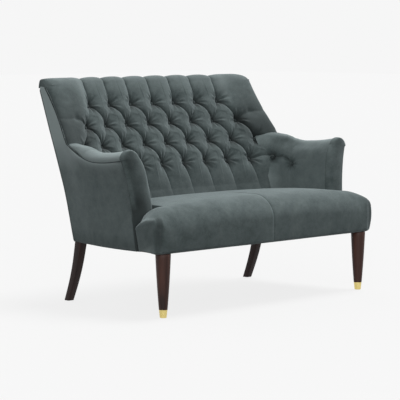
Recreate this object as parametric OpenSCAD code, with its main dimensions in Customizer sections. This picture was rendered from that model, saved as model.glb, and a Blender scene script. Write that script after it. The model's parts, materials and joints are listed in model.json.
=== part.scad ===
// Two-seat snuggler chair: a low upholstered sofa on four wooden legs, with a fixed T-shaped
// seat, a deep-buttoned raked back whose ends wrap forward, and low flared arms.
// Millimetres, +Z up, the chair faces -Y, and +X is to the right of someone looking at it.
// The origin is on the floor, under the middle of the chair.

/* [Legs] */
// Clear height from the floor to the underside of the seat frame
floor_gap = 246; // [140:1:300]
// Distance of each front leg's axis from the end of the seat
front_leg_inset = 46; // [40:1:90]
// Diameter of a front leg at its top
front_leg_d = 60; // [44:1:70]
// Diameter of a front leg at the top of its ferrule
front_ankle_d = 32; // [24:1:40]
// Diameter of the ferrule where it meets the floor
ferrule_foot_d = 25; // [16:0.5:30]
// Height of the brass ferrule
ferrule_h = 31; // [18:1:50]
// Wall of the ferrule
ferrule_wall = 1.2; // [0.8:0.1:2.5]
// Thickness of a rear leg at its top, both ways
rear_leg_top = 36; // [28:1:44]
// Thickness of a rear leg at the floor, both ways
rear_leg_foot = 28; // [20:1:36]
// How far a rear foot stands behind the leg's top
rear_rake = 77; // [0:1:120]
// How far a rear leg's curve bows forward of its chord
rear_bow = 9; // [0:0.5:16]
// Diameter of the bolts that hold the legs
bolt_d = 8; // [6:0.5:10]
// Length of those bolts
bolt_len = 72; // [50:1:90]
// Clearance round a bolt in its hole
bolt_fit = 0.2; // [0.1:0.05:0.5]

/* [Frame] */
// Height of the seat rails
rail_h = 82; // [60:1:95]
// Thickness of the seat rails
rail_t = 28; // [20:1:32]
// Thickness of the posts
post_t = 28; // [20:1:30]
// Width of a back post, front to back
post_w = 40; // [30:1:48]
// Thickness of the plywood side of each wing
wing_board_t = 18; // [12:1:24]
// Thickness of the curved rails of the back
back_board_t = 18; // [12:1:20]
// Height of the curved rails of the back
back_board_h = 44; // [30:1:50]
// Thickness of the arm's top rail
arm_rail_t = 16; // [14:1:24]
// Height of the arm's top rail
arm_rail_h = 30; // [20:1:34]
// Length of the corner blocks along each rail
corner_block = 90; // [60:1:120]
// Number of zigzag springs under the seat
spring_count = 8; // [4:1:9]
// Wire thickness of a zigzag spring
wire_d = 3.8; // [3:0.1:4.5]
// Width over the loops of a zigzag spring
spring_w = 48; // [36:1:60]
// Number of half loops in a zigzag spring
spring_loops = 14; // [10:2:18]
// Width of the back's webbing straps
strap_w = 50; // [30:1:60]
// Thickness of a webbing strap
strap_t = 2; // [1:0.5:3]

/* [Seat] */
// Width of the seat over its two ears
seat_w = 1222; // [1150:2:1400]
// How far the corners of the seat stand in front of the front legs' axes
seat_overhang = 30; // [24:1:50]
// How much further forward the middle of the front border stands
seat_bulge = 18; // [0:1:30]
// Height of the seat at the middle of its crown
seat_h = 438; // [400:1:480]
// Drop of the seat's top from its crown to the back
seat_back_drop = 22; // [10:1:35]
// Drop of the seat's top from its crown to an arm
seat_side_drop = 18; // [8:1:30]
// Height of an ear's outer top edge
ear_h = 384; // [350:1:400]
// How far an ear's top drops where it meets the arm
ear_tuck = 38; // [0:1:45]
// Depth of the rounded front of the seat, front to back
seat_roll = 104; // [60:1:130]
// Height of the rounded front of the seat
seat_roll_h = 96; // [60:1:110]
// Depth of the sewn seam down the middle of the seat
seam_depth = 4; // [0:0.5:8]
// Thickness of the foam slab inside the seat
foam_t = 44; // [20:1:46]

/* [Arms] */
// Clear width between the arms at the seat
arm_gap = 1006; // [960:2:1080]
// Width of an arm at the seat rail
arm_foot_w = 94; // [86:1:110]
// Distance of the arm's front behind the front legs' axes, at the seat rail
arm_front = 105; // [95:1:150]
// How far the arm's front leans back up to its outer seam
arm_lean = 36; // [0:1:60]
// How far the inner face has moved outwards at the top of the inside arm
arm_spread = 50; // [20:1:60]
// Height of the arm at its front
arm_h = 637; // [600:1:680]
// How far the arm's top dips behind its front
arm_dip = 18; // [0:1:30]
// Thickness of the padding on the arm's top
arm_top_pad_t = 14; // [8:1:18]
// How far the outer seam stands out from the arm's foot
arm_flare = 40; // [20:1:60]
// Height of the padded roll above the outer seam
arm_roll_h = 38; // [25:1:50]
// Thickness of the padding on the arm's inner face
arm_pad_t = 28; // [16:1:30]
// Thickness of the front facing
facing_t = 12; // [6:1:20]
// Diameter of the welt cord round the facing
welt_d = 7; // [4:0.5:10]

/* [Back] */
// Height of the whole chair
back_h = 901; // [860:1:960]
// Backward tilt of the buttoned face
rake = 26.7; // [18:0.1:30]
// Distance of the buttoned surface behind the front legs, at the seat's height
back_foot = 500; // [470:1:560]
// How far the buttoned surface has come forward at the top of a wing
wing_sweep = 95; // [40:1:120]
// Half width of the back at its top corners
wing_top_x = 583; // [560:1:600]
// Half width of the back where it meets the arm's top
wing_low_x = 606; // [590:1:620]
// How far forward of the top corner a wing's outer seam runs at the arm's top
wing_seam_run = 165; // [140:1:190]
// Depth of the padding's roll at a wing's outer edge, measured across
wing_roll = 45; // [25:1:60]
// Thickness of the padding over the buttons
tuft = 30; // [15:1:34]
// Sideways distance between buttons
button_gap = 123.7; // [115:0.1:130]
// Height between rows of buttons
row_gap = 82.6; // [75:0.1:88]
// Height of the top row of buttons
row_top = 783; // [770:1:795]
// Diameter of a button
button_d = 19; // [14:0.5:24]
// Half width of the body at its rear lower corners
rear_x = 538; // [530:1:575]
// Distance of the rear lower corners behind the front legs
rear_y = 556; // [545:1:620]
// How far behind the padding's plane the rear leans at its top
rear_lean = 8.7; // [2:0.1:30]
// How far the outside back's curve bows forward of its chord
rear_sweep = 30; // [0:1:40]
// How far the outside back bulges rearwards at its middle, at the top
rear_bulge = 43; // [10:1:60]
// Thickness of the outside panels with their lining
panel_t = 5; // [3:0.5:8]
// Thickness of the black cloth under the frame
dust_t = 1.2; // [0.5:0.1:2]

/* [Fit] */
// Running gap between neighbouring soft pieces
soft_gap = 0.3; // [0.2:0.05:0.6]

/* [Hidden] */

cloth = [0.29, 0.33, 0.33];
walnut = [0.24, 0.14, 0.11];
brass = [0.78, 0.68, 0.36];
beech = [0.80, 0.66, 0.47];
steel = [0.55, 0.56, 0.58];
foam_colour = [0.90, 0.88, 0.78];
hessian = [0.55, 0.45, 0.30];
black_cloth = [0.08, 0.08, 0.09];

// Levels
rail_top = floor_gap + rail_h;
clip_t = 1.5;
spring_z = rail_top + clip_t;
foam_z = spring_z + wire_d + 2 * clip_t;
cover_z = foam_z + foam_t + soft_gap;
tuck_z = rail_top + 6;
ear_inner_z = rail_top + 10;
side_wall = 14;

// Plan: distances behind the front legs' axes. The whole is then moved to the middle.
seat_half = seat_w / 2;
arm_in = arm_gap / 2;
leg_x = seat_half - front_leg_inset;
rail_face_y = -(rail_t / 2 + 2);
back_top_seam = back_h - 43;
depth_front = seat_overhang + seat_bulge;

module placed() translate([0, -middle_y, 0]) children();
module both(side) { if (side < 0) mirror([1, 0, 0]) children(); else children(); }

// Triangles between two rows of point numbers, the first row the longer or equal
function stitch(a, b) = let (n = len(a) - 1, m = len(b) - 1) [
    for (i = [0:n - 1]) let (j = round(i * m / n), k = round((i + 1) * m / n))
        each concat([[a[i], b[j], a[i + 1]]], k > j ? [[a[i + 1], b[j], b[k]]] : [])];
function flip(faces) = [for (f = faces) [f[2], f[1], f[0]]];
function flat_list(rows) = [for (r = rows) for (p = r) p];
function quads(rows, cols, start) = [for (i = [0:rows - 2]) for (j = [0:cols - 2])
    let (a = start + i * cols + j, b = a + cols)
        each j <= (cols - 1) / 2 ? [[a, a + 1, b + 1], [a, b + 1, b]] : [[a, a + 1, b], [a + 1, b + 1, b]]];

// Closed solid between a fine outer sheet and a coarser inner sheet of as many columns
module slab(outer, inner) {
    rows = len(outer);
    cols = len(outer[0]);
    under = len(inner);
    start = rows * cols;
    faces = concat(
        flip(quads(rows, cols, 0)),
        quads(under, cols, start),
        flip(stitch([for (j = [0:cols - 1]) j], [for (j = [0:cols - 1]) start + j])),
        stitch([for (j = [0:cols - 1]) (rows - 1) * cols + j],
               [for (j = [0:cols - 1]) start + (under - 1) * cols + j]),
        stitch([for (i = [0:rows - 1]) i * cols], [for (i = [0:under - 1]) start + i * cols]),
        flip(stitch([for (i = [0:rows - 1]) i * cols + cols - 1],
                    [for (i = [0:under - 1]) start + i * cols + cols - 1])));
    polyhedron(concat(flat_list(outer), flat_list(inner)), faces, convexity = 8);
}

// Closed solid through a row of rings that all have as many points, with flat ends
module loft(rings) {
    n = len(rings);
    m = len(rings[0]);
    walls = [for (i = [0:n - 2]) for (j = [0:m - 1])
        let (k = (j + 1) % m, a = i * m + j, b = i * m + k, c = a + m, d = b + m)
            each [[a, b, d], [a, d, c]]];
    first = [for (j = [1:m - 2]) [0, j + 1, j]];
    last = [for (j = [1:m - 2]) [(n - 1) * m, (n - 1) * m + j, (n - 1) * m + j + 1]];
    polyhedron(flat_list(rings), concat(walls, first, last), convexity = 8);
}

function mix(a, b, t) = a + (b - a) * t;
function limit(v, lo, hi) = min(max(v, lo), hi);

// The arm's inner face: how far from the middle it lies at a height
arm_low_z = seat_h - seat_side_drop;
arm_top_z = arm_h - 29;
function inner_x(z) = let (g = limit((z - arm_low_z) / (arm_top_z - arm_low_z), 0, 1))
    arm_in + arm_spread * (0.52 * g + 0.48 * pow(g, 6));

// The surface that the buttons are pulled down to, and the padded face over it
function centre_y(z) = back_foot + (z - seat_h) * tan(rake);
function sweep(x) = wing_sweep * (0.04 * pow(x / wing_top_x, 2) + 0.96 * pow(x / wing_top_x, 4));
function base_y(x, z) = centre_y(z) - sweep(x);
function face_y(x, z) = base_y(x, z) - tuft / cos(rake);

// The outside back: the rear corner line, and the panel's bulge between the corners
rear_drop = 33;
function rear_f(z) = limit((z - floor_gap) / (back_h - rear_drop - floor_gap), 0, 1);
rear_top_y = base_y(0, back_h - rear_drop) + rear_lean;
function rear_line_y(z) = mix(rear_y, rear_top_y, rear_f(z)) - rear_sweep * sin(180 * rear_f(z));
function rear_line_x(z) = mix(rear_x, wing_top_x - 7, rear_f(z)) + 11 * sin(180 * rear_f(z));
function outside_y(x, z) = rear_line_y(z)
    + mix(15, rear_bulge, rear_f(z)) * (1 - pow(x / rear_line_x(z), 2));

// The wing's outer seam
corner_top_z = back_h - 31;
wing_low_z = arm_h + 6;
function seam_f(z) = limit((z - wing_low_z) / (corner_top_z - wing_low_z), 0, 1);
function seam_x(z) = mix(wing_low_x, wing_top_x, seam_f(z));
seam_top_y = rear_top_y - 48;
function seam_y(z) = seam_top_y - wing_seam_run * (1 - seam_f(z));

// Height of the padding over the button surface, as a share of its full height
pleat = 0.36;
function lobe(p) = abs(sin(180 * p));
function puff(a, b) = pleat * (a + b - a * b) + (1 - pleat) * pow(a * b, 0.6);
function crease(t, q) = 1 - max([for (k = [0:3])
    (1 - lobe(min(abs(t - k), 0.5))) * exp(-(q - 3) * (k == 1 || k == 2 ? 1.5 : 6))]);
function channel(u, r) = let (f = 0.55 * limit(r / 0.7, 0, 1)) f + (1 - f) * puff(u, u);
function tuft_share(x, z) =
    let (s = abs(x) / button_gap, t = (row_top - z) / row_gap, q = s - t / 2, p = s + t / 2)
    t < 0 ? channel(s < 3 ? lobe(s) : lobe(min(s - 3, 0.5)), -t)
    : t > 3 ? channel(lobe(min(s, 4.5) + 0.5), t - 3)
    : q < 3 ? puff(lobe(p), lobe(q))
    : puff(crease(t, q), lobe(min(q - 3, 0.5)));

// The arm's section: an elliptic roll over the arm, seen along a path from its front to the wing
lean_angle = atan(arm_lean / (arm_h - arm_roll_h - floor_gap));
function front_y(z) = arm_front + (z - floor_gap) * tan(lean_angle);
function behind_y(z) = front_y(z) + facing_t / cos(lean_angle) + soft_gap;
arm_run_start = front_y(arm_h - arm_roll_h);
arm_run_end = seam_y(wing_low_z);
function run(y) = limit((y - arm_run_start) / (arm_run_end - arm_run_start), 0, 1);
function roll_level(y) = let (u = run(y), seam = arm_h - arm_roll_h, low = seam - arm_dip)
    u < 0.52 ? seam - arm_dip * sin(90 * u / 0.52)
    : low + (wing_low_z - low) * pow((u - 0.52) / 0.48, 1.9);
function roll_height(y) = arm_roll_h
    * lookup(run(y), [[0, 1], [0.45, 1.05], [0.68, 1.2], [0.8, 1.25], [0.92, 0.85], [1, 0.4]]);
lip = 5;
function seam_out(y) = wing_low_x
    + (arm_in + arm_foot_w + arm_flare - wing_low_x) * pow(1 - run(y), 1.8);
function arm_edge_z(y) = min(roll_level(y) + 8, arm_top_z);
function roll_mid(y) = (seam_out(y) + lip + inner_x(arm_top_z)) / 2;
function roll_half(y) = (seam_out(y) + lip - inner_x(arm_top_z)) / 2;

// Inside back: a buttoned pad from the seat, over the top rail, to the outside back
low_rows = [5.4, 4.2];
back_rows = concat(low_rows, [for (k = [9:-1:0]) k / 3], [-0.33, -0.67]);
roll_angles = [rake + 6, 60, 90, 125, 172];
side_steps = 7;
middle_steps = 18;
function edge_x(z) = z < arm_top_z ? inner_x(z)
    : z < wing_low_z ? mix(inner_x(arm_top_z), wing_low_x, (z - arm_top_z) / (wing_low_z - arm_top_z))
    : seam_x(z);
function column_x(j, z) = let (k = abs(j), last = 4 * button_gap)
    k <= middle_steps ? j * button_gap / 6
    : k <= middle_steps + 4 ? sign(j) * button_gap * (3 + (k - middle_steps) / 4)
    : sign(j) * mix(last, edge_x(z) - soft_gap, k == middle_steps + 5 ? 0.45 : k < last_column ? 0.8 : 1);
function wing_curl(x, z) = let (q = limit((abs(x) - edge_x(z) + wing_roll) / wing_roll, 0, 1))
    z < arm_top_z ? 0
    : (seam_y(max(z, wing_low_z)) - face_y(edge_x(z), z))
        * limit((z - arm_top_z) / (wing_low_z - arm_top_z), 0, 1) * (1 - sqrt(1 - q * q));
function back_point(j, z) = let (
        level = z + tuft * sin(rake),
        x = column_x(j, level),
        h = tuft * tuft_share(x, z))
    [x, base_y(x, z) - h * cos(rake) + wing_curl(x, level), z + h * sin(rake)];
roll_z = back_h - 25;
roll_cz = (roll_z - back_h * sin(rake)) / (1 - sin(rake));
function corner_drop(x) = let (q = limit((abs(x) - wing_top_x + wing_roll) / wing_roll, 0, 1))
    (back_h - corner_top_z) * (1 - sqrt(1 - q * q));
function roll_point(j, angle) = let (
        x = column_x(j, roll_z),
        front = face_y(x, roll_z) + wing_curl(x, roll_z),
        rear = outside_y(x, back_top_seam),
        ry = (rear - front) / (1 + cos(rake)),
        rz = back_h - roll_cz - corner_drop(x),
        dent = tuft * (1 - tuft_share(x, row_top + row_gap)) * limit(1.15 - angle / 150, 0, 1))
    [x, rear - ry - (ry - dent) * cos(angle), roll_cz + (rz - dent) * sin(angle)];
last_column = middle_steps + side_steps;
back_columns = [for (j = [-last_column:last_column]) j];
lining = 10;
back_low = row_top - low_rows[0] * row_gap;
function under_point(j, z) = let (
        level = z + tuft * sin(rake),
        x = column_x(j, level),
        end = abs(j) == last_column)
    end && z > arm_top_z ? [sign(j) * (edge_x(z) - panel_t - 2), seam_y(max(z, wing_low_z)) + 1, z]
    : [x + (end ? sign(j) * 18 : 0), base_y(x, z) + lining + wing_curl(x, level), z];
middle_y = (roll_point(0, 172)[1] - depth_front) / 2;
module inside_back() color(cloth) {
    outer = concat([for (t = back_rows) [for (j = back_columns) back_point(j, row_top - t * row_gap)]],
                   [for (a = roll_angles) [for (j = back_columns) roll_point(j, a)]]);
    inner = concat(
        [for (z = [back_low, arm_top_z - 14, wing_low_z, corner_top_z - 18]) [for (j = back_columns)
            under_point(j, z)]],
        [[for (j = back_columns) let (p = roll_point(j, 172), end = abs(j) == last_column ? 1 : 0)
            [p[0] - sign(j) * end * (panel_t + 1.5), p[1] - 8, p[2] - 1 + 5 * end]]]);
    slab(outer, inner);
}

// Seat cover: the crowned T-shaped top and its border, hollow over the foam and the rails
rail_end = seat_half - side_wall - soft_gap;
foam_half = arm_in - 12;
seat_stations = concat([0, 6, 16, 60, 130, 220, 320, 420, foam_half + soft_gap, foam_half + 2.5,
    arm_in - 2.4, arm_in - 0.1],
    [for (e = [0.25, 0.5, 0.72]) mix(arm_in, seat_half, e)],
    [rail_end + soft_gap, rail_end + 2.5, seat_half - 6, seat_half - 2, seat_half]);
seat_xs = concat([for (k = [len(seat_stations) - 1:-1:1]) -seat_stations[k]], seat_stations);
function ear_share(x) = limit((abs(x) - arm_in) / (seat_half - arm_in), 0, 1);
function border_y(x) = -seat_overhang - seat_bulge * (1 - pow(x / seat_half, 2))
    + 10 * pow(limit((abs(x) - seat_half + side_wall) / side_wall, 0, 1), 2);
function top_z(x, u) = seat_h
    - seat_side_drop * pow(min(abs(x) / arm_in, 1), 4)
    - (arm_low_z - ear_h) * pow(ear_share(x), 2.2)
    - ear_tuck * pow(u, 3) * ear_share(x)
    - seam_depth * exp(-pow(x / 12, 2))
    - seat_back_drop * pow(u, 3) * (1 - ear_share(x));
function seat_rear(x, z) = (abs(x) < arm_in - 0.5 ? face_y(x, z) : front_y(z)) - soft_gap;
function seat_ring(x) = let (
        front = border_y(x),
        solid = abs(x) > rail_end + 1,
        under = solid ? floor_gap : abs(x) > foam_half + 1 ? ear_inner_z : cover_z,
        inner = rail_face_y - soft_gap,
        crown = top_z(x, 0),
        a = mix(seat_roll, 46, pow(abs(x) / seat_half, 4)),
        b = min(seat_roll_h, 0.6 * (crown - floor_gap)),
        back = seat_rear(x, top_z(x, 1)))
    concat(
        [[x, solid ? front + 16 : inner, floor_gap], [x, front + 5, floor_gap],
            [x, front + 1, floor_gap + 30]],
        [for (t = [0, 22, 44, 64, 80]) [x, front + a * (1 - cos(t)), crown - b + b * sin(t)]],
        [for (u = [0, 0.3, 0.6, 0.85, 1]) [x, mix(front + a, back, u), top_z(x, u)]],
        [[x, seat_rear(x, under), under]],
        solid ? [[x, back - 30, floor_gap + 4], [x, front + 50, floor_gap + 4]]
              : [[x, inner + 52, under], [x, inner, tuck_z]]);
module seat_cover() color(cloth) loft([for (x = seat_xs) seat_ring(x)]);

// Arms, modelled on the side of +X
arm_button_z = row_top - 3 * row_gap - 18;
arm_button_along = 0.66;
arm_button_y = mix(behind_y(arm_button_z), corner_y(arm_button_z), arm_button_along);
arm_dimple_d = 13;
function arm_dimple(y, z) = let (d = norm([y - arm_button_y, z - arm_button_z]))
    arm_dimple_d * exp(-pow(d / 26, 2))
    + (z < arm_button_z ? 5 * exp(-pow((y - arm_button_y) / 14, 2)) : 0);
function corner_y(z) = face_y(inner_x(z), z) - soft_gap;
arm_cuts = [0, 0.1, 0.25, 0.4, 0.54, 0.66, 0.78, 0.9, 1];
function cut_y(s) = mix(behind_y(arm_top_z), corner_y(arm_top_z), s);
pad_stop = 15;
module inside_arm(side) {
    button_share = (arm_button_z - tuck_z) / (arm_edge_z(cut_y(arm_button_along)) - tuck_z);
    shares = [0, 0.2, 0.42, 0.58, button_share, 0.82, 0.92, 1];
    function at(c, f, deep) = let (
            z = mix(tuck_z, arm_edge_z(cut_y(c)), f),
            y = mix(behind_y(z), corner_y(z) + (deep > 0 ? 12 : 0), c),
            x = inner_x(z) + soft_gap + (deep > 0 ? deep : arm_dimple(y, z)))
        [x, y, z];
    columns = [for (k = [len(arm_cuts) - 1:-1:0]) arm_cuts[k]];
    color(cloth) both(side) slab([for (f = shares) [for (c = columns) at(c, f, 0)]],
         [for (f = [0, 0.5, 0.78, 1]) [for (c = columns) at(c, f, arm_pad_t)]]);
}

function pad_stop_y(x) = mix(corner_y(arm_top_z), arm_run_end - pad_stop,
    limit((x - inner_x(arm_top_z)) / (wing_low_x - inner_x(arm_top_z)), 0, 1));
function pad_end(x, z) = x < edge_x(z) && z > arm_top_z
    ? face_y(x, z) + wing_curl(x, z) - 3 : pad_stop_y(x);
module arm_pad(side) {
    angles = [150, 125, 100, 75, 50, 25, 0];
    last = len(arm_cuts) - 1;
    function ring(k) = let (
            y = cut_y(arm_cuts[k]), cx = roll_mid(y), a = roll_half(y), t = arm_top_pad_t,
            level = function(x) k == last ? pad_stop_y(x) : y,
            over = function(g, r) let (x = cx + (a - r) * cos(g), v = level(x))
                [x, roll_level(v) + soft_gap + (roll_height(v) - r) * sin(g)],
            edge = arm_edge_z(y) + soft_gap,
            section = concat(
                [[inner_x(arm_top_z) + 1, edge]],
                [for (g = angles) over(g, 0)],
                [for (i = [len(angles) - 1:-1:0]) over(angles[i], t)],
                [[inner_x(arm_top_z) + 1 + t, edge]]))
        [for (p = section) [p[0], k == last ? pad_end(p[0], p[1])
            : y + (k == 0 ? behind_y(p[1]) - y : 0), p[1]]];
    color(cloth) both(side) loft([for (k = [last:-1:0]) ring(k)]);
}

function front_outer_x(z) = let (f = limit((z - floor_gap) / (arm_h - arm_roll_h - floor_gap), 0, 1))
    arm_in + arm_foot_w + 0.35 * arm_flare * f + 0.65 * arm_flare * pow(f, 7);
facing_foot = 12;
module facing_shape() {
    seam = arm_h - arm_roll_h;
    y = arm_run_start;
    cut = ear_inner_z - 4;
    low = floor_gap + facing_t * sin(lean_angle);
    points = concat(
        [[arm_in + arm_foot_w - facing_foot, low], [arm_in + arm_foot_w - facing_foot, cut],
         [inner_x(cut) + soft_gap, cut]],
        [for (k = [0:9]) let (z = mix(arm_low_z, arm_edge_z(y), k / 9)) [inner_x(z) + soft_gap, z]],
        [for (g = [165:-11:0]) [roll_mid(y) + roll_half(y) * cos(g), seam + arm_roll_h * sin(g)]],
        [for (k = [9:-1:0]) let (z = mix(low, seam - 2, k / 9)) [front_outer_x(z), z]]);
    polygon([for (p = points) [p[0], (p[1] - floor_gap) / cos(lean_angle)]]);
}
module arm_facing(side) color(cloth) both(side)
    translate([0, arm_front, floor_gap]) rotate([90 - lean_angle, 0, 0]) translate([0, 0, -facing_t])
        linear_extrude(facing_t) facing_shape();

// Cord sewn round the facing's edge, from the seat's ear over the arm to the seat's top
function edge_path() = let (seam = arm_h - arm_roll_h, y = arm_run_start, r = welt_d / 2 + 1)
    concat(
        [for (k = [0:8]) let (z = mix(ear_h - ear_tuck + 30, seam - 2, k / 8)) [front_outer_x(z) - r, z]],
        [for (g = [10:20:170]) [roll_mid(y) + (roll_half(y) - r) * cos(g),
            seam + (arm_roll_h - r) * sin(g)]],
        [for (k = [5:-1:0]) let (z = mix(arm_low_z + 14, arm_edge_z(y) - 12, k / 5)) [inner_x(z) + r, z]]);
module arm_welt(side) {
    path = edge_path();
    n = len(path);
    r = welt_d / 2;
    points = [for (p = path) [p[0], front_y(p[1]) - (r + soft_gap) / cos(lean_angle), p[1]]];
    function ring(i) = let (
            d = points[min(i + 1, n - 1)] - points[max(i - 1, 0)],
            t = d / norm(d), out = [0, -1, 0], u = cross(t, out) / norm(cross(t, out)), w = cross(u, t))
        [for (k = [0:5]) points[i] + r * (cos(60 * k) * u + sin(60 * k) * w)];
    color(cloth) both(side) loft([for (i = [0:n - 1]) ring(i)]);
}

// Outside arm: one panel from the facing to the back's corner, and up the side of the wing
panel_turn = 0.7;
panel_top = 0.93;
panel_y0 = behind_y(arm_h - arm_roll_h);
panel_y1 = arm_run_end + 1.6;
panel_end_z = corner_top_z - 20;
panel_ys = concat([for (k = [1:len(arm_cuts) - 2]) cut_y(arm_cuts[k])], [arm_run_end - pad_stop]);
panel_columns = concat([0], [for (y = panel_ys) panel_turn * (y - panel_y0) / (panel_y1 - panel_y0)],
    [panel_turn, 0.78, 0.86, panel_top, 1]);
function seam_point(c) =
    c <= panel_turn ? let (y = mix(panel_y0, panel_y1, c / panel_turn))
        [seam_out(y), y, roll_level(y) - soft_gap]
    : c <= panel_top ? let (z = mix(wing_low_z, panel_end_z, (c - panel_turn) / (panel_top - panel_turn)))
        [seam_x(z), seam_y(z) + 1.6, z - soft_gap]
    : [rear_line_x(panel_end_z + 10), rear_line_y(panel_end_z + 10) - panel_t - 1.2, panel_end_z + 10];
function panel_point(c, f) = let (
        top = seam_point(c),
        foot = [mix(arm_in + arm_foot_w, rear_x, c),
                mix(behind_y(floor_gap), rear_y - panel_t - 1.2, c), floor_gap],
        w = limit(0.35 + c, 0, 1),
        z = mix(foot[2], top[2], f),
        lean = c == 0 ? behind_y(z) : mix(foot[1], top[1], f) - rear_sweep * pow(c, 2) * sin(180 * f))
    [mix(foot[0], top[0], w * f + (1 - w) * pow(f, 7)) + 11 * c * sin(180 * f), lean, z];
module outside_arm(side) color(cloth) both(side) {
    shares = [0, 0.2, 0.4, 0.6, 0.75, 0.88, 1];
    outer = [for (f = shares) [for (c = panel_columns) panel_point(c, f)]];
    slab(outer, [for (r = outer) [for (p = r) p - [panel_t, 0, 0]]]);
}

// Outside back
module outside_back() {
    top = back_top_seam - soft_gap - 1.5;
    levels = [for (f = [1, 0.86, 0.72, 0.56, 0.4, 0.24, 0.12, 0]) mix(floor_gap, top, f)];
    columns = [for (k = [-8:8]) k / 8];
    function at(c, z, deep) = let (x = c * rear_line_x(z)) [x, outside_y(x, z) - deep, z];
    color(cloth) slab([for (z = levels) [for (c = columns) at(c, z, 0)]],
         [for (z = levels) [for (c = columns) at(c, z, panel_t)]]);
}

// Buttons: domed, on the padding's dimples
module button() rotate_extrude($fn = 32) polygon(concat([[0, 0]], [for (a = [0:30:90])
    [button_d / 2 * cos(a), 2 + button_d * 0.26 * sin(a)]], [[0, 2 + button_d * 0.26]]));
button_lift = 7.9;
function sweep_turn(x) = let (u = x / wing_top_x)
    atan(wing_sweep / wing_top_x * (0.08 * u + 3.84 * pow(u, 3)));
module back_buttons() color(cloth) for (row = [0:3]) {
    shift = (row % 2) / 2;
    ends = 3 + floor(row / 2) + shift - (row == 3 ? 1 : 0);
    for (s = [-ends:1:ends]) let (x = s * button_gap, z = row_top - row * row_gap)
        translate([x, base_y(x, z) - button_lift * cos(rake), z + button_lift * sin(rake)])
            rotate([0, 0, -sweep_turn(x)]) rotate([90 - rake, 0, 0]) button();
}

corner_button_z = row_top - 3 * row_gap + 6;
corner_lift = button_d * 0.36;
module arm_buttons() color(cloth) for (side = [-1, 1]) both(side) {
    translate([inner_x(arm_button_z) + arm_dimple_d - 2.5, arm_button_y, arm_button_z])
        rotate([0, -90, 0]) button();
    translate([inner_x(corner_button_z) - corner_lift + 1.4, corner_y(corner_button_z) - corner_lift + 5,
        corner_button_z]) rotate([90, 0, -45]) button();
}

// Frame: seat rails
post_x1 = rear_x - panel_t - soft_gap;
post_x0 = post_x1 - post_t;
function post_rear(z) = outside_y(post_x1, z) - panel_t - 1;
function post_front(z) = post_rear(z) - post_w;
rail_set = 4;
side_rail_y0 = rail_face_y + rail_t;
side_rail_y1 = post_front(floor_gap);
side_rail_x0 = min(rail_end, arm_in + arm_foot_w - soft_gap) - rail_set;
side_rail_x1 = rear_x - rail_set;
function side_rail_in(y) = let (f = (y - side_rail_y0) / (side_rail_y1 - side_rail_y0))
    mix(side_rail_x0, side_rail_x1, f) - rail_t;
back_rail_y = post_rear(floor_gap) - 3 - rail_t;
rear_leg_x = (post_x0 + post_x1) / 2;
rear_leg_y = post_rear(floor_gap) - rear_leg_top / 2;
bolt_in = bolt_len * 0.48;
module bolt_hole(x, y, z, depth)
    translate([x, y, z]) cylinder(h = depth, d = bolt_d + 2 * bolt_fit, $fn = 32);
module front_rail() color(beech) difference() {
    translate([-rail_end, rail_face_y, floor_gap]) cube([2 * rail_end, rail_t, rail_h]);
    for (x = [-leg_x, leg_x]) bolt_hole(x, 0, floor_gap - 1, bolt_in + 3);
}
module back_rail() color(beech)
    translate([-post_x0, back_rail_y, floor_gap]) cube([2 * post_x0, rail_t, rail_h]);
module side_rail(side) color(beech) both(side) translate([0, 0, floor_gap]) linear_extrude(rail_h)
    polygon([[side_rail_x0 - rail_t, side_rail_y0], [side_rail_x0, side_rail_y0],
             [side_rail_x1, side_rail_y1], [side_rail_x1 - rail_t, side_rail_y1]]);
stretcher_h = rail_h - 34;
module centre_stretcher() color(beech) translate([-rail_t / 2, side_rail_y0, floor_gap + 14])
    cube([rail_t, back_rail_y - side_rail_y0, stretcher_h]);
module corner_blocks() color(beech) for (side = [-1, 1]) both(side)
    translate([0, 0, floor_gap]) linear_extrude(rail_h * 0.6) {
        near = side_rail_in(side_rail_y0) - soft_gap;
        far = side_rail_y0 + corner_block;
        polygon([[near - corner_block, side_rail_y0], [near, side_rail_y0],
                 [side_rail_in(far) - soft_gap, far]]);
        polygon([[post_x0 - corner_block, back_rail_y],
                 [side_rail_in(back_rail_y - corner_block) - soft_gap, back_rail_y - corner_block],
                 [side_rail_in(side_rail_y1) - 1.5, side_rail_y1 - 1], [post_x0 - 1.5, back_rail_y]]);
    }

// Frame: posts, wing boards and arms
post_top = roll_z - 30;
frame_levels = concat([floor_gap], [for (k = [0:12]) mix(rail_top, post_top, k / 12)]);
module side_board(x0, x1, outline) translate([x0, 0, 0]) rotate([90, 0, 90])
    linear_extrude(x1 - x0) polygon(outline);
module back_post(side) color(beech) both(side) difference() {
    side_board(post_x0, post_x1, concat([for (z = frame_levels) [post_rear(z), z]],
        [for (k = [13:-1:0]) [post_front(frame_levels[k]), frame_levels[k]]]));
    bolt_hole(rear_leg_x, rear_leg_y, floor_gap - 1, bolt_in + 3);
}
function board_front(z) = base_y(post_x0, z) + lining + 2;
module wing_board(side) color(beech) both(side) {
    levels = [for (k = [0:12]) mix(rail_top, post_top, k / 12)];
    side_board(post_x0, post_x0 + wing_board_t, concat([for (z = levels) [post_front(z), z]],
        [for (k = [12:-1:0]) [board_front(levels[k]), levels[k]]]));
}
arm_rail_drop = 92;
arm_rail_top = arm_h - arm_rail_drop;
arm_rail_z = arm_rail_top - arm_rail_h;
arm_rail_x = inner_x(arm_rail_top) + arm_pad_t + 10;
arm_post_x = arm_rail_x - 6;
arm_block_y = board_front(arm_rail_top) + 1;
arm_block_t = 20;
module arm_post(side) color(beech) both(side)
    side_board(arm_post_x, arm_post_x + post_t, [for (p = [[0, rail_top], [post_w, rail_top],
        [post_w, arm_rail_z], [0, arm_rail_z]]) [behind_y(p[1]) + soft_gap + p[0], p[1]]]);
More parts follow.
